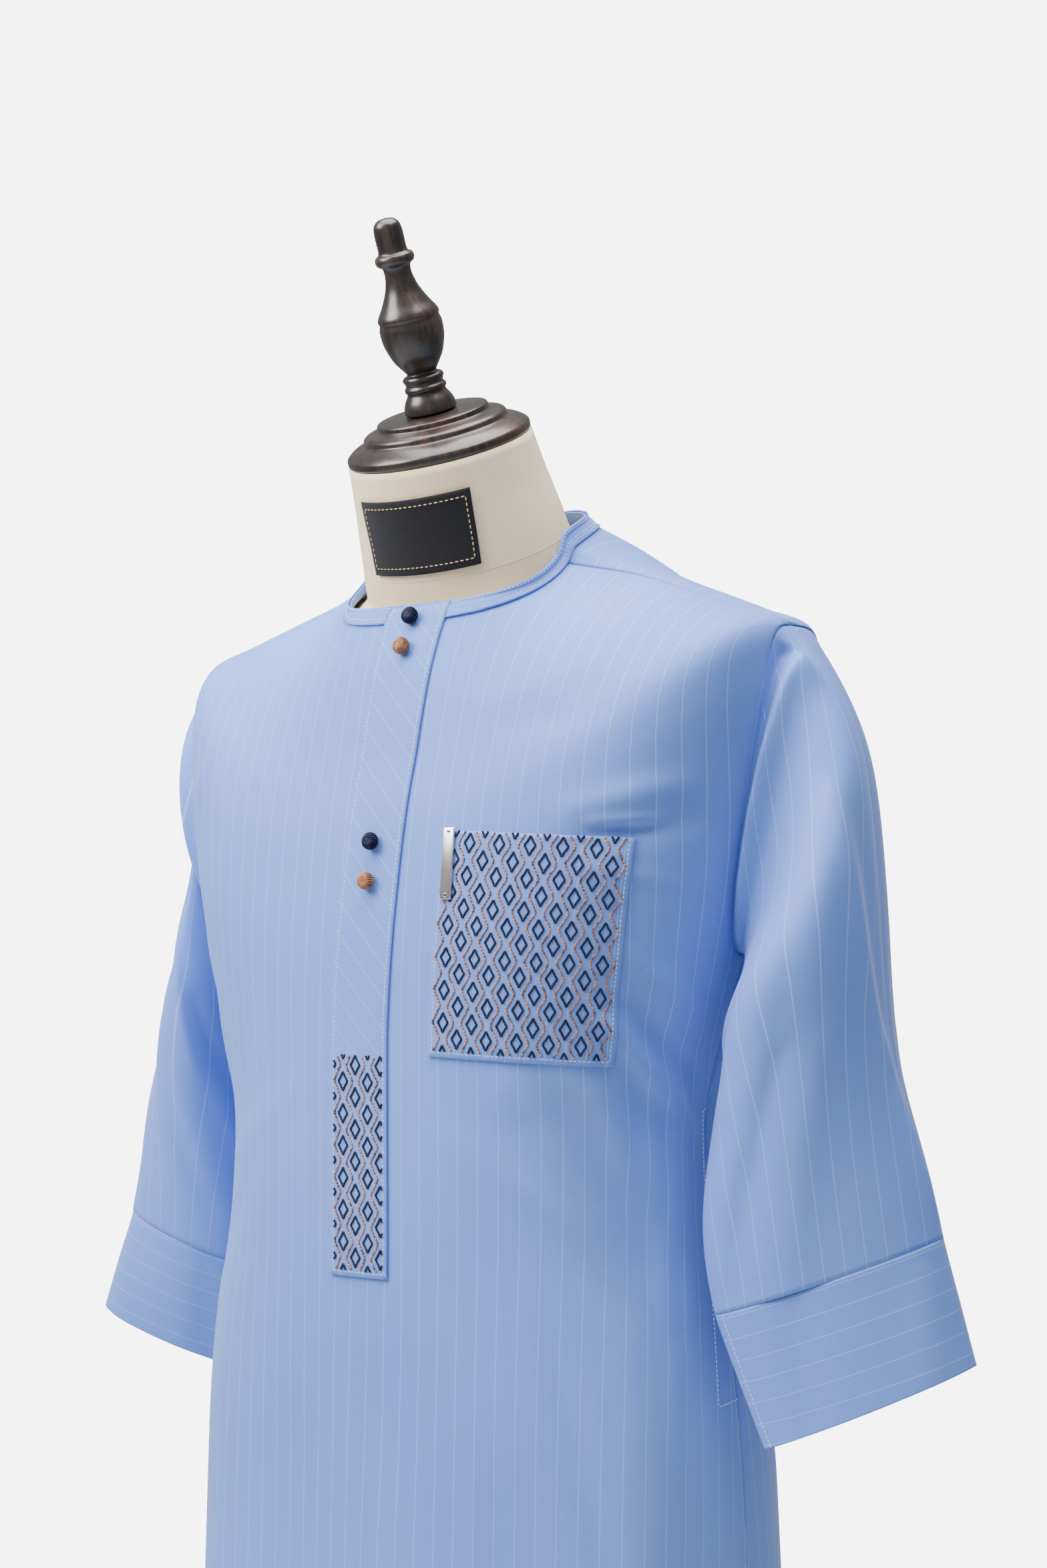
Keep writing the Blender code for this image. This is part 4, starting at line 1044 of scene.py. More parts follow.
def satin_metal(name):
    tones = ((0.016, 0.016, 0.018), (0.030, 0.030, 0.033))
    return uneven_metal(name, 0.42, 0.6, (40.0, 3.0, 0.3), tones, 900.0, 0.00005)


# Cloth


def cloth_mesh(name, points, uv, closed=False, flip=False):
    """A sheet of quads through a grid of points, with a map in metres."""
    points = np.asarray(points, float)
    rows, columns = points.shape[:2]
    across = columns if closed else columns - 1
    row, col = np.meshgrid(np.arange(rows - 1), np.arange(across), indexing="ij")
    row, col = row.ravel(), col.ravel()
    beside = (col + 1) % columns
    corners = np.stack([row * columns + col, (row + 1) * columns + col,
                        (row + 1) * columns + beside, row * columns + beside], 1)
    wide = uv.shape[1]
    spots = np.stack([row * wide + col, (row + 1) * wide + col,
                      (row + 1) * wide + col + 1, row * wide + col + 1], 1)
    if flip:
        corners, spots = corners[:, ::-1], spots[:, ::-1]
    mesh = bpy.data.meshes.new(name)
    mesh.vertices.add(rows * columns)
    mesh.vertices.foreach_set("co", points.reshape(-1))
    mesh.loops.add(corners.size)
    mesh.loops.foreach_set("vertex_index", corners.reshape(-1).astype(np.int32))
    mesh.polygons.add(len(corners))
    mesh.polygons.foreach_set("loop_start", np.arange(0, corners.size, 4, dtype=np.int32))
    mesh.update(calc_edges=True)
    layer = mesh.uv_layers.new(name="cloth")
    layer.data.foreach_set("uv", uv.reshape(-1, 2)[spots.reshape(-1)].reshape(-1))
    mesh.shade_smooth()
    return link_mesh(mesh)


def give_thickness(piece, thickness, outwards=False):
    wall = piece.modifiers.new("Thickness", "SOLIDIFY")
    wall.thickness = thickness
    wall.offset = 1 if outwards else -1
    apply_all(piece)
    piece.data.shade_smooth()
    return piece


def run_down(points):
    """Distance down each column of a grid."""
    steps = np.linalg.norm(np.diff(points, axis=0), axis=2)
    return np.concatenate([np.zeros((1, points.shape[1])), np.cumsum(steps, axis=0)])


def run_across(points):
    """Distance along each row of a grid."""
    steps = np.linalg.norm(np.diff(points, axis=1), axis=2)
    return np.concatenate([np.zeros((points.shape[0], 1)), np.cumsum(steps, axis=1)], axis=1)


def grid_normals(points, closed=False):
    down = np.gradient(points, axis=0)
    if closed:
        across = (np.roll(points, 1, axis=1) - np.roll(points, -1, axis=1)) / 2
    else:
        across = np.gradient(points, axis=1)
    return unit(np.cross(down, across))


def crossing(points, ways):
    """Columns and rows of a closed grid crossed by a step along each point's way."""
    down = np.gradient(points, axis=0)
    across = (np.roll(points, -1, axis=1) - np.roll(points, 1, axis=1)) / 2
    wide, deep = (across ** 2).sum(-1), (down ** 2).sum(-1)
    both = (across * down).sum(-1)
    ahead, below = (across * ways).sum(-1), (down * ways).sum(-1)
    turn = ahead * deep - below * both
    fall = np.maximum(below * wide - ahead * both, 0.02 * wide * np.sqrt(deep))
    pace = 2 * np.maximum(np.abs(turn), fall)
    return turn / pace, fall / pace


def followed(points, ways, row, column):
    """Columns at which lines from these places of a closed grid reach its last row."""
    fields = crossing(points, ways)
    last, columns = points.shape[0] - 1, points.shape[1]
    for _ in range(3 * (last + columns)):
        moving = row < last
        if not moving.any():
            break
        low, left = np.minimum(row.astype(int), last - 1), np.floor(column).astype(int)
        deep, wide = np.clip(row - low, 0, 1), column - left
        step = []
        for field in fields:
            above, under = (
                field[at, left % columns] * (1 - wide) + field[at, (left + 1) % columns] * wide
                for at in (low, low + 1))
            step.append(np.where(moving, above + (under - above) * deep, 0))
        column, row = column + step[0], row + step[1]
    return column


def stripe_grid():
    """The body above the chest as a closed grid, with the way its stripes run at each point."""
    places = np.arange(0, CHEST_ROW + 0.01, 1 / GRID_STEPS)[:, None]
    angles = np.arange(-180, 180)[None] * math.pi / 180
    points = plain_body_point(*np.broadcast_arrays(angles, places))
    normals = unit(body_normal(*np.broadcast_arrays(angles, places)))
    fall = unit(normals * normals[..., 2:] - np.array([0, 0, 1]))
    upright = np.cross(normals, np.array([1, 0, 0]))
    front = np.where(np.cos(angles) >= 0, 1, -1)[..., None]
    facing = np.sign(upright[..., 2:] + front * upright[..., 1:2])
    share = (1 - np.clip((places - SHOULDER_ROW) / 3.5, 0, 1))[..., None]
    share = share * np.clip(np.linalg.norm(upright, axis=-1, keepdims=True) * 3, 0, 1)
    ways = unit(unit(upright) * -facing * share + fall * (1 - share))
    return points, ways


def stripe_across(angles, places, side):
    """Distance across a panel's stripes, carried up the body from the chest."""
    girths = girth_at(angles, places)
    high = places < CHEST_ROW
    points, ways = stripe_grid()
    ring = np.concatenate([points[-1], points[-1, :1]])
    run = np.concatenate([[0], np.cumsum(np.linalg.norm(np.diff(ring, axis=0), axis=1))])
    middle = 180 if side > 0 else 360
    column = followed(points, ways, places[high] * GRID_STEPS, np.degrees(angles[high]) + 180)
    around = np.interp(column % 360, np.arange(361), run) + run[-1] * np.floor(column / 360)
    girths[high] = around - run[middle]
    return girths


def panel(name, side):
    """Front (side 1) or back (side -1): the solid's rows, divided more finely."""
    yoke, armhole, skirt = PANEL_ROWS
    down = (1 - np.cos(np.linspace(0, math.pi, armhole))) / 2
    places = np.concatenate([
        np.linspace(0, SHOULDER_ROW, yoke)[:-1],
        SHOULDER_ROW + (UNDERARM_ROW - SHOULDER_ROW) * down,
        np.linspace(UNDERARM_ROW, HEM_ROW, skirt)[1:],
    ])
    across = np.linspace(-1, 1, PANEL_COLUMNS + 1)
    half_turn = np.concatenate([SAMPLE_ANGLES, math.pi - SAMPLE_ANGLES[-2::-1]])
    points, turns = [], []
    for row in places:
        clear = MEET / named_rows(BODY_COLUMNS, BODY_ROWS, row)["half_width"]
        edge = front_edge(row) if side > 0 else math.pi - back_edge(row)
        full = seam_angle(row) if side > 0 else math.pi - seam_angle(row)
        girths = smooth_rows(GIRTH_ROWS, row)
        girths = np.concatenate([girths, 2 * girths[-1] - girths[-2::-1]])
        reach, whole = np.interp([edge - clear, full], half_turn, girths)
        spots = np.abs(across) * whole - np.abs(across) ** 2.5 * (whole - reach)
        angles = np.sign(across) * np.interp(spots, girths, half_turn)
        angles = angles if side > 0 else angles + math.pi
        inset = (1 - np.abs(across)) * girths[-1] / 2
        groove = -SEAM_GROOVE * np.exp(-(inset / SEAM_REACH) ** 2)
        points.append(body_point(angles, row, groove))
        turns.append(angles)
    points, turns = np.array(points), np.array(turns)
    rows = np.broadcast_to(places[:, None], turns.shape)
    uv = np.stack([stripe_across(turns, rows, side), -run_down(points)], -1)
    return cloth_mesh(name, points, uv), points


def sleeve_folds(points, rows, creases):
    """Moves a sleeve's rings along their normals by its table of soft creases."""
    turn = np.arange(points.shape[1])[None] / points.shape[1]
    down = np.asarray(rows)[:, None] * SLEEVE_ROW_LENGTH
    total = np.zeros(points.shape[:2])
    for turn_a, row_a, turn_b, row_b, spread, height in creases:
        run = ((turn_b - turn_a) * SLEEVE_GIRTH, (row_b - row_a) * SLEEVE_ROW_LENGTH)
        across = ((turn - turn_a + 0.5) % 1 - 0.5) * SLEEVE_GIRTH
        below = down - row_a * SLEEVE_ROW_LENGTH
        total += height * soft_ridge(across, below, run, spread, SLEEVE_CREASE_ENDS)
    return points + grid_normals(points, closed=True) * total[..., None]


def sleeve_rings(side):
    """Rings of a sleeve at +X from its armhole to its cuff, their rows and the stripes' map."""
    loop, tangent, normal = armhole_frame(side)
    starts, dips = np.array(SLEEVE_STARTS), SEAM_GROOVE * np.array(SLEEVE_DIPS)
    rings = [loop + tangent * out - normal * dip for out, dip in zip(starts, dips)]
    rows = CUFF_ROW * np.linspace(0, 1, SLEEVE_RINGS) ** SLEEVE_CROWDING
    rings += [sleeve_ring(row, side) for row in rows]
    rings = smooth_down(np.array(rings))
    rows = np.concatenate([START_ROW + starts / START_ROW_LENGTH, rows])
    around = carried_up(rings)
    if side > 0:
        rings = pinched(rings)
    return rings, rows, around


def carried_up(rings):
    """Distance round a sleeve's last ring, carried up to the others along its stripes."""
    columns = rings.shape[1]
    middles = rings.mean(axis=1, keepdims=True)
    ways = unit(unit(middles[-1] - middles[0]) + SLEEVE_FLARE * unit(rings - middles))
    row, column = np.meshgrid(
        np.arange(len(rings), dtype=float), np.arange(columns + 1, dtype=float), indexing="ij")
    column = followed(rings, ways, row, column)
    around = run_across(np.concatenate([rings[-1:], rings[-1:, :1]], axis=1))[0]
    return around[-1] * np.floor(column / columns) + np.interp(
        column % columns, np.arange(columns + 1), around)


def pinched(rings):
    """Raises the ridge beside the armhole's seam and sinks the hollow between them."""
    turn = np.arange(rings.shape[1]) / rings.shape[1]
    table = np.array(PINCH)
    distance, ridge, hollow = (np.interp(turn, table[:, 0], column) for column in table.T[1:])
    away = run_down(rings) / distance
    spread = np.where(away < 1, RIDGE_NEAR_SPREAD * distance, RIDGE_SPREAD)
    height = ridge * np.exp(-((away - 1) * distance / spread) ** 2)
    height = height - hollow * np.exp(-((away - HOLLOW_MIDDLE) / HOLLOW_SPREAD) ** 2)
    return rings + grid_normals(rings, closed=True) * height[..., None]


def cuff_rings(side):
    """Rings of a cuff at +X and their rows. It has no map of its own: its stripes run round it."""
    rows = np.linspace(CUFF_ROW + CUFF_START, SLEEVE_END, CUFF_RINGS)
    return np.array([sleeve_ring(row, side) for row in rows]), rows, None


def tube(name, side, shape, creases):
    """A sleeve or cuff, creased and mapped."""
    rings, rows, around = shape
    rings = sleeve_folds(rings, rows, creases) * np.array([side, 1, 1])
    joined = np.concatenate([rings, rings[:, :1]], axis=1)
    down = run_down(joined)
    if around is None:
        uv = np.stack([down + STRIPE_START, run_across(joined)], -1)
    else:
        uv = np.stack([around + STRIPE_START, -down], -1)
    return cloth_mesh(name, rings, uv, closed=True, flip=side > 0), joined


def smooth_down(rings):
    """Evens out how a sleeve's rings run into each other, keeping its first and last ones."""
    for _ in range(SMOOTH_TIMES):
        middle = (rings[:-2] + rings[2:]) / 2
        rings[SMOOTH_FROM:-1] += 0.5 * (middle[SMOOTH_FROM - 1:] - rings[SMOOTH_FROM:-1])
    return rings


# Spots on the front, looked up in a table of level lines


def level_table():
    levels = np.arange(LOWEST_LEVEL, HIGHEST_LEVEL, LEVEL_STEP)
    found = [section_at(z) for z in levels]
    return np.array([rows for rows, _ in found]), np.array([lengths for _, lengths in found])


LEVEL_ROWS, LEVEL_LENGTHS = level_table()


def front_spots(girths, heights):
    """Angles and rows on the front for girths from the middle along level lines."""
    angles, rows = [], []
    for girth, z in zip(np.ravel(girths), np.ravel(heights)):
        level = min(max((z - LOWEST_LEVEL) / LEVEL_STEP, 0), len(LEVEL_ROWS) - 1.001)
        low = int(level)
        part = level - low
        angle = row = 0.0
        for index, share in ((low, 1 - part), (low + 1, part)):
            at = np.interp(abs(girth), LEVEL_LENGTHS[index], SAMPLE_ANGLES)
            angle += share * at
            row += share * np.interp(at, SAMPLE_ANGLES, LEVEL_ROWS[index])
        angles.append(math.copysign(angle, girth))
        rows.append(row)
    shape = np.shape(girths)
    return np.reshape(angles, shape), np.reshape(rows, shape)


def on_front_at(girths, heights, lift):
    angles, rows = front_spots(girths, heights)
    return body_point(angles, rows, lift)


def with_normals(surface, first, second, lift, step):
    """Points of a surface with the cloth's normal there. A negative step goes down by height."""
    points = surface(first, second, lift)
    beside = surface(np.asarray(first) + abs(step), second, lift) - points
    below = surface(first, np.asarray(second) + step, lift) - points
    return points, unit(np.cross(below, beside))


def front_frame(girths, heights, lift):
    return with_normals(on_front_at, girths, heights, lift, -0.002)


PLACKET_ROWS = np.linspace(0, HEM_ROW, 800)
PLACKET_HEIGHTS = plain_body_point(np.zeros(800), PLACKET_ROWS)[:, 2]
PLACKET_RUN = np.concatenate([[0], np.cumsum(np.linalg.norm(np.diff(
    plain_body_point(np.zeros(800), PLACKET_ROWS), axis=0), axis=1))])
PLACKET_LENGTH = float(np.interp(-PLACKET_BOTTOM_Z, -PLACKET_HEIGHTS, PLACKET_RUN))


def placket_surface(aside, below, lift=0.0):
    """A point of the placket, by metres from its middle line and down from its top edge."""
    aside, below = np.broadcast_arrays(np.asarray(aside, float), np.asarray(below, float))
    row = np.interp(below, PLACKET_RUN, PLACKET_ROWS)
    z = np.interp(below, PLACKET_RUN, PLACKET_HEIGHTS)
    up = np.clip((z - PLACKET_STRAIGHT_Z) / (BODY_ROWS[0][0] - PLACKET_STRAIGHT_Z), 0, 1)
    x = PLACKET_TOP_SHIFT * up + aside
    shape = named_rows(BODY_COLUMNS, BODY_ROWS, row)
    angle = np.arcsin((np.abs(x) / shape["half_width"]) ** (shape["squareness"] / 2))
    return body_point(np.sign(x) * angle, row, lift)


def placket_frame(aside, below, lift):
    return with_normals(placket_surface, aside, below, lift, 0.001)


def pocket_spots(across, down):
    """Girth and height on the pocket, from its inner top corner to its outer bottom one."""
    width = POCKET_TOP_WIDTH + (POCKET_BOTTOM_WIDTH - POCKET_TOP_WIDTH) * down
    girth, fall = across * width, down * POCKET_HEIGHT
    turn_cos, turn_sin = math.cos(POCKET_TURN), math.sin(POCKET_TURN)
    return (POCKET_INNER + girth * turn_cos - fall * turn_sin,
            POCKET_TOP_Z - fall * turn_cos - girth * turn_sin)


def pressed(inset):
    """Height of a sewn piece at a distance from its edge: pressed down along the stitching."""
    puff = 1 - np.exp(-((inset - STITCH_INSET) / PRESS_REACH) ** 2)
    return SEAM + PATCH + PRESS_FULLNESS * puff


# Stitches


def stitch_shape():
    """One stitch, modelled once: a short plump thread along X, flat underneath."""
    deselect_all()
    bpy.ops.mesh.primitive_uv_sphere_add(segments=8, ring_count=6, radius=0.5)
    made = bpy.context.object
    edit(made)
    bpy.ops.mesh.select_all(action="SELECT")
    bpy.ops.transform.rotate(value=math.pi / 2, orient_axis="Y", center_override=(0, 0, 0))
    leave_edit()
    points, faces = taken_apart(made)
    points[:, 0] = np.sign(points[:, 0]) * 0.5 * (np.abs(points[:, 0]) * 2) ** 0.75
    points[:, 2] = np.maximum(points[:, 2], -0.25)
    return points, faces


def sew(name, starts, ends, normals, width, height, material, slot):
    """Copies of the stitch from each start to its end, all in one piece."""
    shape, faces = stitch_shape()
    starts, ends, normals = (np.reshape(part, (-1, 3)) for part in (starts, ends, normals))
    along = ends - starts
    length = np.linalg.norm(along, axis=1, keepdims=True)
    ahead = along / np.maximum(length, 1e-9)
    beside = unit(np.cross(normals, ahead))
    above = np.cross(ahead, beside)
    middle = (starts + ends) / 2
    points = (middle[:, None]
              + shape[None, :, 0, None] * (ahead * length)[:, None]
              + shape[None, :, 1, None] * (beside * width)[:, None]
              + shape[None, :, 2, None] * (above * height)[:, None])
    count = len(shape)
    mesh = bpy.data.meshes.new(name)
    mesh.from_pydata(
        points.reshape(-1, 3).tolist(), [],
        [tuple(corner + index * count for corner in face)
         for index in range(len(starts)) for face in faces],
    )
    mesh.shade_smooth()
    return dress(link_mesh(mesh), material, slot)


def dashes(points, normals, pitch, share=0.72):
    """Starts and ends of even stitches along a line of points."""
    steps = np.linalg.norm(np.diff(points, axis=0), axis=1)
    run = np.concatenate([[0], np.cumsum(steps)])
    count = max(int(run[-1] / pitch), 1)
    first = (np.arange(count) + (1 - share) / 2) * run[-1] / count
    last = first + share * run[-1] / count
    starts, ends, ways = (
        np.stack([np.interp(at, run, values[:, axis]) for axis in range(3)], -1)
        for at, values in ((first, points), (last, points), ((first + last) / 2, normals))
    )
    return starts, ends, unit(ways)


def collect(lines, pitch, share=0.72):
    parts = [dashes(points, normals, pitch, share) for points, normals in lines]
    return [np.concatenate(group) for group in zip(*parts)]


# Pieces of cloth


def finish_sheet(piece, thickness, looks, outwards=False):
    """Gives a sheet its thickness and looks, and sets it on the root body."""
    give_thickness(piece, thickness, outwards)
    dress(piece, *looks)


def make_panel(name, side, node, cloth, material):
    piece, points = panel(name, side)
    finish_sheet(piece, cloth.thickness, (material, "suiting", node))


def make_tube(name, side, shape, creases, node, cloth, material):
    piece, points = tube(name, side, shape, creases)
    finish_sheet(piece, cloth.thickness, (material, "suiting", node))


def band_points():
    """The neck band's outer surface, from the placket's one edge round to its other one."""
    count, columns = BAND_GRID
    reach = PLACKET_WIDTH / 2 + SEAM
    lines = []
    for row in np.linspace(0, BAND_ROW, count):
        shape = named_rows(BODY_COLUMNS, BODY_ROWS, row)
        bend = shape["squareness"] / 2
        lean = placket_middle(float(shape["front_z"]))
        start = np.arcsin(((reach + lean) / shape["half_width"]) ** bend)
        end = 2 * math.pi - np.arcsin(((reach - lean) / shape["half_width"]) ** bend)
        angles = np.linspace(start, end, columns)
        angles = angles + 0.20 * np.sin(2 * angles) - 0.20 * (
            np.sin(2 * start) + (np.sin(2 * end) - np.sin(2 * start)) * np.linspace(0, 1, columns))
        lines.append(body_point(angles, row))
    base = np.array(lines)
    down = run_down(base)
    inset = np.minimum(down, down[-1] - down)
    return base + grid_normals(base) * pressed(inset)[..., None]


def make_band(cloth, material):
    points = band_points()
    uv = np.stack([run_down(points) + BAND_STRIPE_START, run_across(points)], -1)
    piece = cloth_mesh("cloth_neck_band", points, uv)
    finish_sheet(piece, cloth.thickness * TRIM_SHARE, (material, "suiting", "neck_band"))


def make_placket(cloth, material):
    rows, columns = PLACKET_GRID
    aside = np.linspace(-1, 1, columns)[None] * PLACKET_WIDTH / 2
    below = np.linspace(0, PLACKET_LENGTH, rows)[:, None]
    inset = np.minimum(PLACKET_WIDTH / 2 - np.abs(aside), PLACKET_LENGTH - below)
    inset = np.minimum(inset, below)
    points = placket_surface(aside, below, pressed(inset))
    aside, below = np.broadcast_arrays(aside, below)
    uv = np.stack([(aside - below) * math.sqrt(0.5), (aside + below) * math.sqrt(0.5)], -1)
    piece = cloth_mesh("cloth_placket", points, uv)
    finish_sheet(piece, cloth.thickness * TRIM_SHARE, (material, "suiting", "placket"))


def make_pocket(cloth, material):
    rows, columns = POCKET_GRID
    across, down = np.meshgrid(np.linspace(0, 1, columns), np.linspace(0, 1, rows))
    girths, heights = pocket_spots(across, down)
    inset = np.minimum(np.minimum(across, 1 - across) * POCKET_BOTTOM_WIDTH,
                       (1 - down) * POCKET_HEIGHT)
    points = on_front_at(girths, heights, pressed(inset))
    uv = np.stack([across * POCKET_TOP_WIDTH + STRIPE_START, -down * POCKET_HEIGHT], -1)
    piece = cloth_mesh("cloth_pocket", points, uv)
    finish_sheet(piece, cloth.thickness * TRIM_SHARE,
                 (material, "embroidered", "chest_pocket"))


# Sewing


def along_placket(aside, start, end, count=160):
    return placket_frame(np.linspace(aside[0], aside[1], count), np.linspace(start, end, count),
                         SEAM + PATCH)


def placket_lines():
    """Topstitching along both long edges, across the foot and just below the top."""
    out, foot = PLACKET_WIDTH / 2 - STITCH_INSET, PLACKET_LENGTH - STITCH_INSET
    return [
        along_placket((-out, -out), 0.001, foot, 300),
        along_placket((out, out), 0.001, foot, 300),
        along_placket((-out, out), foot, foot, 40),
        along_placket((-out, out), TOP_LINE, TOP_LINE, 40),
    ]


def band_lines():
    """Topstitching along both edges of the neck band."""
    points = band_points()
    normals = grid_normals(points)
    lines = []
    for share in (0.20, 0.80):
        low = int(share * (len(points) - 1))
        part = share * (len(points) - 1) - low
        lines.append((points[low] * (1 - part) + points[low + 1] * part, normals[low]))
    return lines


def pocket_lines():
    """Topstitching down the pocket's sides and along its foot."""
    aside, foot = STITCH_INSET / POCKET_BOTTOM_WIDTH, 1 - STITCH_INSET / POCKET_HEIGHT
    spots = (((aside, aside), (0.004, foot)), ((aside, 1 - aside), (foot, foot)),
             ((1 - aside, 1 - aside), (foot, 0.004)))
    lines = []
    for across, down in spots:
        girths, heights = pocket_spots(np.linspace(*across, 90), np.linspace(*down, 90))
        lines.append(front_frame(girths, heights, SEAM + PATCH))
    return lines


def side_pocket_lines():
    """The stitched mouth of the pocket in the side seam, just in front of it."""
    girths = (0.2660, 0.2545, 0.2558, 0.2600, 0.2820)
    heights = (1.1440, 1.1400, 1.0500, 0.9510, 0.9540)
    knots = (0, 0.06, 0.40, 0.88, 1)
    run = np.linspace(0, 1, 120)
    return [front_frame(np.interp(run, knots, girths), np.interp(run, knots, heights), 0.0001)]


def cuff_lines(side):
    """A line of stitching down the cuff's front edge."""
    rings, rows, _ = cuff_rings(side)
    rings = sleeve_folds(rings, rows, CUFF_CREASES)
    normals = grid_normals(rings, closed=True)
    column, turned = int(CUFF_LINE_TURN * rings.shape[1]), np.array([side, 1, 1])
    return [(rings[:, column] * turned, normals[:, column] * turned)]


def diamond_sides(middle, jitter):
    """A diamond's outline as short satin stitches, its sides bowed a little inwards."""
    half_x, half_y = DIAMOND_HALF
    corners = np.array([(0, -half_y), (half_x, 0), (0, half_y), (-half_x, 0), (0, -half_y)])
    starts, ends = [], []
    for start, end in zip(corners[:-1], corners[1:]):
        steps = np.linspace(0, 1, 6)
        line = start + (end - start) * steps[:, None]
        bow = 0.00032 * np.sin(math.pi * steps) + 0.00012 * np.sin(steps * 19 + jitter * 3)
        line = line * (1 - (bow / 0.004)[:, None]) + middle
        starts.append(line[:-1] - (line[1:] - line[:-1]) * 0.12)
        ends.append(line[1:] + (line[1:] - line[:-1]) * 0.12)
    return np.concatenate(starts), np.concatenate(ends)


def diamond_field(lefts, evens, height):
    """Diamonds of the half-drop chart. Lefts are the columns' middles, evens their phases."""
    starts, ends = [], []
    for index, (left, even) in enumerate(zip(lefts, evens)):
        first = CHART_EVEN - CHART_REPEAT if even else CHART_ODD
        for step in range(int(height / CHART_REPEAT) + 2):
            middle = np.array([left, first + step * CHART_REPEAT])
            begin, end = diamond_sides(middle, index + step * 1.7)
            starts.append(begin)
            ends.append(end)
    return np.concatenate(starts), np.concatenate(ends)


def zigzag_field(lefts, evens, height):
    """Lines of links beside the columns, pushed away from the diamonds that they pass."""
    starts, ends = [], []
    edges = [lefts[0] - CHART_COLUMN / 2] + [left + CHART_COLUMN / 2 for left in lefts]
    pushed = [not evens[0]] + list(evens)
    for index, (edge, even) in enumerate(zip(edges, pushed)):
        down = np.linspace(0, height, 400)
        phase = (down - (CHART_EVEN if even else CHART_ODD)) / CHART_REPEAT
        wave = 1 - 4 * np.abs((phase + 0.5) % 1 - 0.5)
        wave = np.clip(wave * 1.15, -1, 1) + 0.06 * np.sin(down * 900 + index)
        line = np.stack([edge + wave * ZIGZAG_REACH, down, 0 * down], -1)
        begin, end, _ = dashes(line, np.tile([0, 0, 1.0], (400, 1)), ZIGZAG_PITCH, 0.96)
        starts.append(begin[:, :2])
        ends.append(end[:, :2])
    return np.concatenate(starts), np.concatenate(ends)


def within(starts, ends, left, right, top, bottom):
    """Keeps the stitches that lie inside the patch."""
    middle = (starts + ends) / 2
    keep = ((middle[:, 0] > left) & (middle[:, 0] < right)
            & (middle[:, 1] > top) & (middle[:, 1] < bottom))
    return starts[keep], ends[keep]


def on_pocket(spots):
    """Embroidery's metres to the pocket's surface and its normal."""
    across, down = spots[:, 0] / POCKET_TOP_WIDTH, spots[:, 1] / POCKET_HEIGHT
    girths, heights = pocket_spots(across, down)
    return front_frame(girths, heights, SEAM + PATCH + EMBROIDERY_LIFT)


def on_foot(spots):
    top = PLACKET_LENGTH - POCKET_HEIGHT
    return placket_frame(spots[:, 0], top + spots[:, 1], SEAM + PATCH + EMBROIDERY_LIFT)


def embroider(name, field, surface, width, material, slot, *bounds):
    starts, ends = within(*field, *bounds)
    first, normals = surface(starts)
    last, _ = surface(ends)
    return sew(name, first, last, normals, width, width * 0.9, material, slot)


# Buttons, bar, form and stand


def wound_button():
    """A ball knot, modelled once: a core and the strands wound round it, hollow in the middle."""
    deselect_all()
    radius = BUTTON_DIAMETER / 2
    bpy.ops.mesh.primitive_uv_sphere_add(segments=24, ring_count=14, radius=radius * 0.70)
    core = bpy.context.object
    strands = [core]
    count = 22
    for index in range(count):
        turn = math.tau * index / count
        deselect_all()
        bpy.ops.mesh.primitive_torus_add(
            major_segments=20, minor_segments=6, major_radius=radius * 0.47,
            minor_radius=radius * 0.105, location=(radius * 0.47, 0, 0),
            rotation=(math.pi / 2, 0.20, 0),
        )
        strand = bpy.context.object
        place(strand, Matrix.Rotation(turn, 4, "Z") @ Matrix.Diagonal((1, 1, 1.25, 1)))
        strands.append(strand)
    join_all(strands)
    return taken_apart(core)


def add_button(index, z, shape, material, slot):
    """A copy of the knot at its place on the placket, its hollow facing out."""
    radius = BUTTON_DIAMETER / 2
    lift = SEAM + PATCH + SEAM + radius * BUTTON_FLATNESS + 0.0001
    at = facing_matrix(
        placket_point(0, z, lift), placket_point(0.2, z, lift), placket_point(0, z - 0.01, lift)
    )
    points, faces = shape
    mesh = bpy.data.meshes.new(f"knot_{index}")
    mesh.from_pydata(points.tolist(), [], faces)
    mesh.shade_smooth()
    made = link_mesh(mesh)
    place(made, at @ Matrix.Rotation(math.pi / 2, 4, "X"))
    return dress(made, material, slot, f"button_{index}")


def bar_matrix():
    width, depth, height = BAR_SIZE
    girth, z = POCKET_INNER + BAR_INSET + width / 2, POCKET_TOP_Z + BAR_RISE - height / 2
    lift = SEAM + PATCH + 0.0006 + depth / 2
    return facing_matrix(
        on_front(girth, z, lift), on_front(girth + width, z, lift), on_front(girth, z - width, lift)
    )


def bevel_all(piece, width, segments):
    edit(piece)
    bpy.ops.mesh.select_all(action="SELECT")
    bpy.ops.mesh.bevel(offset=width, segments=segments, affect="EDGES")
    leave_edit()


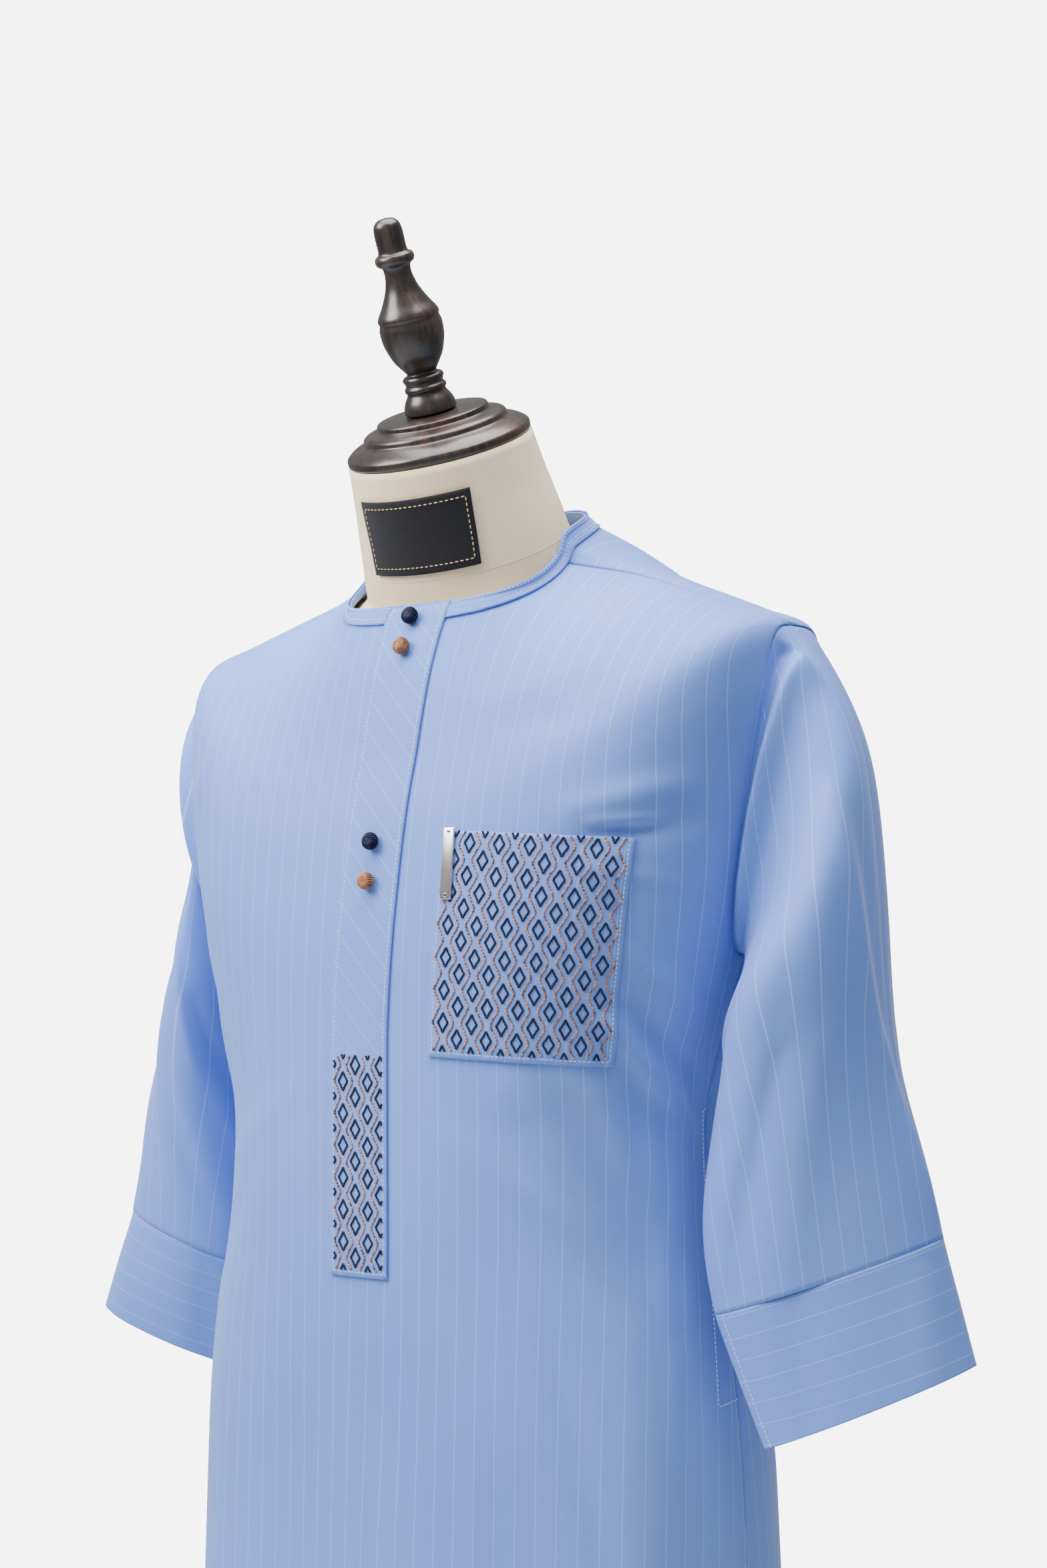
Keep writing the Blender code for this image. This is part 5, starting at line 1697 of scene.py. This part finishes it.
def add_bar(material, thread_material):
    """The flat bar with a small eyelet and a stitch at each end."""
    at = bar_matrix()
    deselect_all()
    bpy.ops.mesh.primitive_cube_add(size=1)
    bar = bpy.context.object
    bar.name = "metal_bar"
    bar.data.transform(Matrix.Diagonal((*BAR_SIZE, 1)))
    bevel_all(bar, 0.0006, 3)
    rims = [bar]
    for end in (-1, 1):
        deselect_all()
        bpy.ops.mesh.primitive_torus_add(
            major_segments=24, minor_segments=8, major_radius=0.0011, minor_radius=0.00028,
            location=(0, -BAR_SIZE[1] / 2, end * (BAR_SIZE[2] / 2 - 0.0028)),
            rotation=(math.pi / 2, 0, 0),
        )
        rim = bpy.context.object
        place(rim, Matrix.Identity(4))
        rims.append(rim)
    join_all(rims)
    place(bar, at)
    bar.data.shade_smooth()
    dress(bar, material, "silver", "pocket_bar")
    out = -BAR_SIZE[1] / 2 - 0.0001
    heights = [end * (BAR_SIZE[2] / 2 - 0.0028) for end in (-1, 1)]
    starts = [at @ Vector((-0.0009, out, z - 0.0003)) for z in heights]
    ends = [at @ Vector((0.0009, out, z + 0.0003)) for z in heights]
    away = [-(at.to_3x3() @ Vector((0, 1, 0)))] * 2
    sew("bar_stitches", starts, ends, away, 0.0010, 0.0008, thread_material, "navy_thread")


def form_points():
    """The form's rings from the neck's top to its flat foot, run smoothly into each other."""
    turns = np.linspace(-math.pi, math.pi, FORM_COLUMNS, endpoint=False)
    turns = turns + 0.25 * np.sin(2 * turns)
    rings = [neck_ring(row, turns) for row in (0, 1, 1.5, 2, 2.5, 3, 3.5)]
    for row in (0.9, 1.4, 2, 2.6, 3.3, 4, 4.6, 5, 5.4, 5.9, 6.5, 7.2, 8, 9, 10, 11, 12, 13, 14.5,
                HIP_ROW):
        rows = np.full(turns.shape, float(row))
        ease = named_rows(BODY_COLUMNS, BODY_ROWS, rows)["ease"] + CLOTH
        normal = body_normal(turns, rows)
        rings.append(plain_body_point(turns, rows) - normal * ease[:, None])
    rings[-1][:, 2] = form_bottom()
    return np.array(rings)


def add_form(material):
    rings = form_points()
    count = len(rings) - 1
    between = np.linspace(0, count, count * FORM_STEPS + 1)
    flat = rings.reshape(len(rings), -1)
    rings = smooth_rows(flat, between).reshape(len(between), -1, 3)
    joined = np.concatenate([rings, rings[:, :1]], axis=1)
    uv = np.stack([run_across(joined), -run_down(joined)], -1)
    made = cloth_mesh("linen_form", rings, uv, closed=True)
    edit(made)
    bpy.ops.mesh.select_mode(type="EDGE")
    bpy.ops.mesh.select_all(action="DESELECT")
    bpy.ops.mesh.select_non_manifold()
    bpy.ops.mesh.edge_face_add()
    bpy.ops.mesh.select_all(action="SELECT")
    bpy.ops.mesh.normals_make_consistent(inside=False)
    leave_edit()
    return dress(made, material, "linen", "dress_form")


def label_point(across, down, lift):
    """A point of the label, by shares of its width and height."""
    top_z = NECK_ROWS[0][1] - LABEL_DROP + LABEL_HEIGHT / 2
    z = top_z - LABEL_HEIGHT * np.asarray(down, float)
    row = np.interp(-z, [-neck[1] for neck in NECK_ROWS], range(len(NECK_ROWS)))
    radius = named_rows(NECK_COLUMNS, NECK_ROWS, row)["half_width"]
    turns = LABEL_TURN - LABEL_SLANT * down + (across - 0.5) * LABEL_WIDTH / radius
    return neck_ring(row, turns, lift)


def add_label(material, thread_material):
    """The patch on the neck, with a gold running stitch inside its edge and no lettering."""
    across, down = np.meshgrid(np.linspace(0, 1, 60), np.linspace(0, 1, 32))
    points = label_point(across, down, SEAM + 0.0007)
    uv = np.stack([across * LABEL_WIDTH, -down * LABEL_HEIGHT], -1)
    made = cloth_mesh("neck_patch", points, uv)
    finish_sheet(made, TRIM, (material, "label", "neck_label"), True)
    side, end = 0.045, 0.088
    corners = [(side, end), (1 - side, end), (1 - side, 1 - end), (side, 1 - end), (side, end)]
    lines = []
    for (left, top), (right, bottom) in zip(corners[:-1], corners[1:]):
        run = np.linspace(0, 1, 60)
        spots = left + (right - left) * run, top + (bottom - top) * run
        line = label_point(*spots, SEAM + 0.0007 + TRIM + 0.0002)
        out = label_point(*spots, 0.01) - label_point(*spots, 0)
        lines.append((line, unit(out)))
    sew("label_stitches", *collect(lines, 0.0036, 0.66), 0.0009, 0.0009, thread_material, "label")


def neck_seam(material):
    """The cover's seam round the foot of the neck."""
    turns = np.linspace(-math.pi, math.pi, 200)
    line = neck_ring(np.full(200, 2.55), turns, 0.0001)
    out = neck_ring(np.full(200, 2.55), turns, 0.01) - line
    sew("neck_seam", *collect([(line, unit(out))], 0.0020, 0.9), 0.0006, 0.0005, material, "linen")


def rounded(profile, times=2):
    """Takes the corners off a profile, keeping its ends on the axis."""
    points = np.array(profile, float)
    for _ in range(times):
        ahead = points[:-1] * 0.80 + points[1:] * 0.20
        behind = points[:-1] * 0.20 + points[1:] * 0.80
        inner = np.stack([ahead, behind], 1).reshape(-1, 2)
        points = np.concatenate([points[:1], inner[1:-1], points[-1:]])
    return points


def add_turned(name, profile, material, slot, node, at=None):
    """A turned piece: a point extruded along the profile, then spun about its axis."""
    deselect_all()
    bpy.ops.mesh.primitive_plane_add(size=0.01)
    made = bpy.context.object
    made.name = name
    edit(made)
    bpy.ops.mesh.select_mode(type="VERT")
    bpy.ops.mesh.select_all(action="SELECT")
    bpy.ops.mesh.merge(type="CENTER")
    points = rounded(profile)
    bpy.ops.transform.translate(value=(points[0][0], 0, points[0][1]))
    for start, end in zip(points[:-1], points[1:]):
        bpy.ops.mesh.extrude_region_move(
            TRANSFORM_OT_translate={"value": (end[0] - start[0], 0, end[1] - start[1])})
    bpy.ops.mesh.select_all(action="SELECT")
    bpy.ops.mesh.spin(steps=TURNED_STEPS, angle=math.tau, center=(0, 0, 0), axis=(0, 0, 1))
    bpy.ops.mesh.select_all(action="SELECT")
    bpy.ops.mesh.remove_doubles(threshold=0.00002)
    bpy.ops.mesh.normals_make_consistent(inside=False)
    leave_edit()
    bpy.ops.object.shade_smooth_by_angle(angle=math.radians(40))
    place(made, at or Matrix.Identity(4))
    return dress(made, material, slot, node)


def add_pole(material):
    top, bottom = form_bottom() - SEAM, BASE_PROFILE[0][1] + SEAM
    deselect_all()
    bpy.ops.mesh.primitive_cylinder_add(
        vertices=64, radius=POLE_RADIUS, depth=top - bottom, location=(0, 0, (top + bottom) / 2))
    made = bpy.context.object
    made.name = "pole"
    place(made, Matrix.Identity(4))
    bevel_all(made, 0.0006, 2)
    bpy.ops.object.shade_smooth_by_angle(angle=math.radians(40))
    return dress(made, material, "black_metal", "stand_pole")


# Stage


def floor_material(colour):
    shade = Shading("studio_floor", 0.80)
    tone = shade.ramp(shade.noise(shade.object_point(), 2.0), 0.3, 0.7)
    pale = tuple(colour)
    shade.colour(shade.mix(tone, tuple(part * 0.98 for part in pale), pale))
    return shade.material


def soft_light(name, location, target, size, power, tint):
    deselect_all()
    bpy.ops.object.light_add(type="AREA", location=location)
    lamp = bpy.context.object
    lamp.name = name
    lamp.data.shape = "RECTANGLE"
    lamp.data.size, lamp.data.size_y = size
    lamp.data.energy = power
    lamp.data.color = tint
    lamp.rotation_euler = (Vector(target) - Vector(location)).to_track_quat("-Z", "Y").to_euler()


def surroundings(stage):
    world = bpy.data.worlds.new("studio")
    bpy.context.scene.world = world
    world.use_nodes = True
    tree = world.node_tree
    tree.nodes.clear()
    out = tree.nodes.new("ShaderNodeOutputWorld")
    seen, lit = tree.nodes.new("ShaderNodeBackground"), tree.nodes.new("ShaderNodeBackground")
    seen.inputs["Color"].default_value = (0.93, 0.935, 0.945, 1)
    seen.inputs["Strength"].default_value = AIR_SEEN
    lit.inputs["Color"].default_value = (*stage.pale, 1)
    lit.inputs["Strength"].default_value = AIR_LIGHT
    path, mix = tree.nodes.new("ShaderNodeLightPath"), tree.nodes.new("ShaderNodeMixShader")
    tree.links.new(path.outputs["Is Camera Ray"], mix.inputs[0])
    tree.links.new(lit.outputs[0], mix.inputs[1])
    tree.links.new(seen.outputs[0], mix.inputs[2])
    tree.links.new(mix.outputs[0], out.inputs["Surface"])


def add_camera(stage):
    side = Vector((math.cos(stage.azimuth), math.sin(stage.azimuth), 0))
    ahead = Vector((-side.y, side.x, 0))
    deselect_all()
    bpy.ops.object.camera_add(
        location=side * stage.aside + Vector((0, 0, stage.height)) - ahead * stage.distance)
    camera = bpy.context.object
    look = ahead * math.cos(stage.pitch) + Vector((0, 0, math.sin(stage.pitch)))
    camera.rotation_euler = look.to_track_quat("-Z", "Y").to_euler()
    camera.data.lens = stage.lens
    camera.data.sensor_fit = "AUTO"
    camera.data.sensor_width = 36
    camera.data.clip_start = 0.05
    bpy.context.scene.camera = camera


# Operators


class MakePanels(bpy.types.Operator):
    """Make the front and the back of the kaftan"""

    bl_idname = "kaftan.panels"
    bl_label = "Panels"

    def execute(self, context):
        cloth = context.scene.kaftan_cloth
        material = suiting("suiting_cloth", cloth)
        make_panel("cloth_front", 1, "front_panel", cloth, material)
        make_panel("cloth_back", -1, "back_panel", cloth, material)
        return {"FINISHED"}


class MakeSleeves(bpy.types.Operator):
    """Make both sleeves and their deep cuffs"""

    bl_idname = "kaftan.sleeves"
    bl_label = "Sleeves and cuffs"

    def execute(self, context):
        cloth = context.scene.kaftan_cloth
        material = bpy.data.materials["suiting_cloth"]
        panels = ["front_panel", "back_panel"]
        for side, hand, creases in ((1, "left", LEFT_CREASES), (-1, "right", RIGHT_CREASES)):
            for part, shape, folds, held_by in (
                ("sleeve", sleeve_rings(side), creases, panels),
                ("cuff", cuff_rings(side), CUFF_CREASES, [f"sleeve_{hand}"]),
            ):
                make_tube(f"cloth_{part}_{hand}", side, shape, folds, f"{part}_{hand}", cloth,
                          material)
        return {"FINISHED"}


class MakeSewnPieces(bpy.types.Operator):
    """Make the neck band, the placket and the chest pocket"""

    bl_idname = "kaftan.sewn_pieces"
    bl_label = "Band, placket and pocket"

    def execute(self, context):
        cloth = context.scene.kaftan_cloth
        material = bpy.data.materials["suiting_cloth"]
        make_band(cloth, material)
        make_placket(cloth, material)
        make_pocket(cloth, material)
        return {"FINISHED"}


class MakeTopstitching(bpy.types.Operator):
    """Sew the lines of topstitching"""

    bl_idname = "kaftan.topstitching"
    bl_label = "Topstitching"

    def execute(self, context):
        trim = context.scene.kaftan_trim
        pale = thread("sewing_thread", trim.pale, 0.12, 0.4)
        lines = {
            "placket_topstitch": placket_lines(),
            "band_topstitch": band_lines(),
            "pocket_topstitch": pocket_lines(),
            "side_pocket_topstitch": side_pocket_lines(),
            "cuff_left_topstitch": cuff_lines(1),
            "cuff_right_topstitch": cuff_lines(-1),
        }
        for name, group in lines.items():
            sew(name, *collect(group, trim.stitch), STITCH_WIDTH, STITCH_WIDTH, pale, "suiting")
        return {"FINISHED"}


class MakeEmbroidery(bpy.types.Operator):
    """Embroider the pocket and the placket's foot with diamonds and zigzags"""

    bl_idname = "kaftan.embroidery"
    bl_label = "Embroidery"

    def execute(self, context):
        trim = context.scene.kaftan_trim
        navy = thread("navy_embroidery", trim.navy, 0.35, 0.25)
        copper = variegated("copper_embroidery", trim)
        for patch, surface, chart, bounds in (
            ("pocket", on_pocket, POCKET_CHART, POCKET_BOUNDS),
            ("placket", on_foot, FOOT_CHART, FOOT_BOUNDS),
        ):
            first, pitch, columns, odd = chart
            lefts = [first + index * pitch for index in range(columns)]
            evens = [index % 2 == odd for index in range(columns)]
            embroider(f"{patch}_diamonds", diamond_field(lefts, evens, POCKET_HEIGHT), surface,
                      THREAD_WIDTH, navy, "navy_thread", *bounds)
            embroider(f"{patch}_zigzags", zigzag_field(lefts, evens, POCKET_HEIGHT), surface,
                      THREAD_WIDTH * LINK_SHARE, copper, "copper_thread", *bounds)
        return {"FINISHED"}


class MakeButtons(bpy.types.Operator):
    """Make the wound buttons and the pocket's metal bar"""

    bl_idname = "kaftan.buttons"
    bl_label = "Buttons and bar"

    def execute(self, context):
        trim = context.scene.kaftan_trim
        navy = thread("navy_winding", trim.navy, 0.30, 0.25)
        copper = thread("copper_winding", tuple(part * 0.85 for part in trim.copper), 0.40, 0.4)
        shape = wound_button()
        for index, z in enumerate(BUTTON_HEIGHTS):
            material, slot = ((navy, "navy_thread"), (copper, "copper_thread"))[index % 2]
            add_button(index + 1, z, shape, material, slot)
        add_bar(polished_bar("bar_metal"), navy)
        return {"FINISHED"}


class MakeForm(bpy.types.Operator):
    """Make the linen form and the patch on its neck"""

    bl_idname = "kaftan.form"
    bl_label = "Form"

    def execute(self, context):
        finish, trim = context.scene.form_finish, context.scene.kaftan_trim
        linen = linen_cloth("form_linen", finish.linen)
        add_form(linen)
        neck_seam(thread("seam_thread", tuple(part * 0.85 for part in finish.linen), 0.08, 0.3))
        add_label(black_weave("patch_weave"), thread("gold_thread", trim.gold, 0.2, 0.5))
        return {"FINISHED"}


class MakeTurnings(bpy.types.Operator):
    """Turn the wooden cap, the finial and the stand"""

    bl_idname = "kaftan.turnings"
    bl_label = "Cap, finial and stand"

    def execute(self, context):
        finish = context.scene.form_finish
        at = neck_frame()
        wood = stained_wood("walnut", finish.wood, at)
        add_turned("wooden_cap", CAP_PROFILE, wood, "dark_wood", "neck_cap", at)
        above = at @ Matrix.Translation(Vector((0, 0, CAP_PROFILE[0][1])))
        add_turned("wooden_finial", FINIAL_PROFILE, wood, "dark_wood", "finial", above)
        metal = satin_metal("stand_metal")
        add_pole(metal)
        add_turned("foot_plate", BASE_PROFILE, metal, "black_metal", "stand_base")
        return {"FINISHED"}


class MakeStage(bpy.types.Operator):
    """Set the floor, the light and the camera"""

    bl_idname = "kaftan.stage"
    bl_label = "Stage"

    def execute(self, context):
        stage = context.scene.studio_stage
        deselect_all()
        bpy.ops.mesh.primitive_circle_add(
            vertices=96, radius=2.6, fill_type="NGON", location=(0, 0, -0.0005))
        floor = bpy.context.object
        floor.name = "studio_floor"
        floor.data.materials.append(floor_material(stage.pale))
        surroundings(stage)
        for light in LIGHTS:
            soft_light(*light)
        add_camera(stage)
        return {"FINISHED"}


STEPS = (
    MakePanels, MakeSleeves, MakeSewnPieces, MakeTopstitching, MakeEmbroidery, MakeButtons,
    MakeForm, MakeTurnings, MakeStage,
)


class KaftanTools(bpy.types.Panel):
    """Lists the steps that dress the kaftan."""

    bl_idname = "VIEW3D_PT_kaftan"
    bl_label = "Kaftan"
    bl_space_type = "VIEW_3D"
    bl_region_type = "UI"
    bl_category = "Kaftan"

    def draw(self, context):
        for group in ("kaftan_cloth", "kaftan_trim", "form_finish", "studio_stage"):
            for name in getattr(context.scene, group).__annotations__:
                self.layout.prop(getattr(context.scene, group), name)
        for step in STEPS:
            self.layout.operator(step.bl_idname)


GROUPS = {
    "kaftan_cloth": KaftanCloth,
    "kaftan_trim": KaftanTrim,
    "form_finish": FormFinish,
    "studio_stage": StudioStage,
}


def register():
    for name, group in GROUPS.items():
        bpy.utils.register_class(group)
        setattr(bpy.types.Scene, name, bpy.props.PointerProperty(type=group))
    for step in (*STEPS, KaftanTools):
        bpy.utils.register_class(step)


def unregister():
    for step in (*STEPS, KaftanTools):
        bpy.utils.unregister_class(step)
    for name, group in GROUPS.items():
        delattr(bpy.types.Scene, name)
        bpy.utils.unregister_class(group)


def plain(bounds):
    return [[float(value) for value in corner] for corner in bounds]


def main():
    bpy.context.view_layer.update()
    register()
    bpy.ops.kaftan.panels()
    bpy.ops.kaftan.sleeves()
    bpy.ops.kaftan.sewn_pieces()
    bpy.ops.kaftan.topstitching()
    bpy.ops.kaftan.embroidery()
    bpy.ops.kaftan.buttons()
    bpy.ops.kaftan.form()
    bpy.ops.kaftan.turnings()
    bpy.ops.kaftan.stage()


if __name__ == "__main__":
    main()
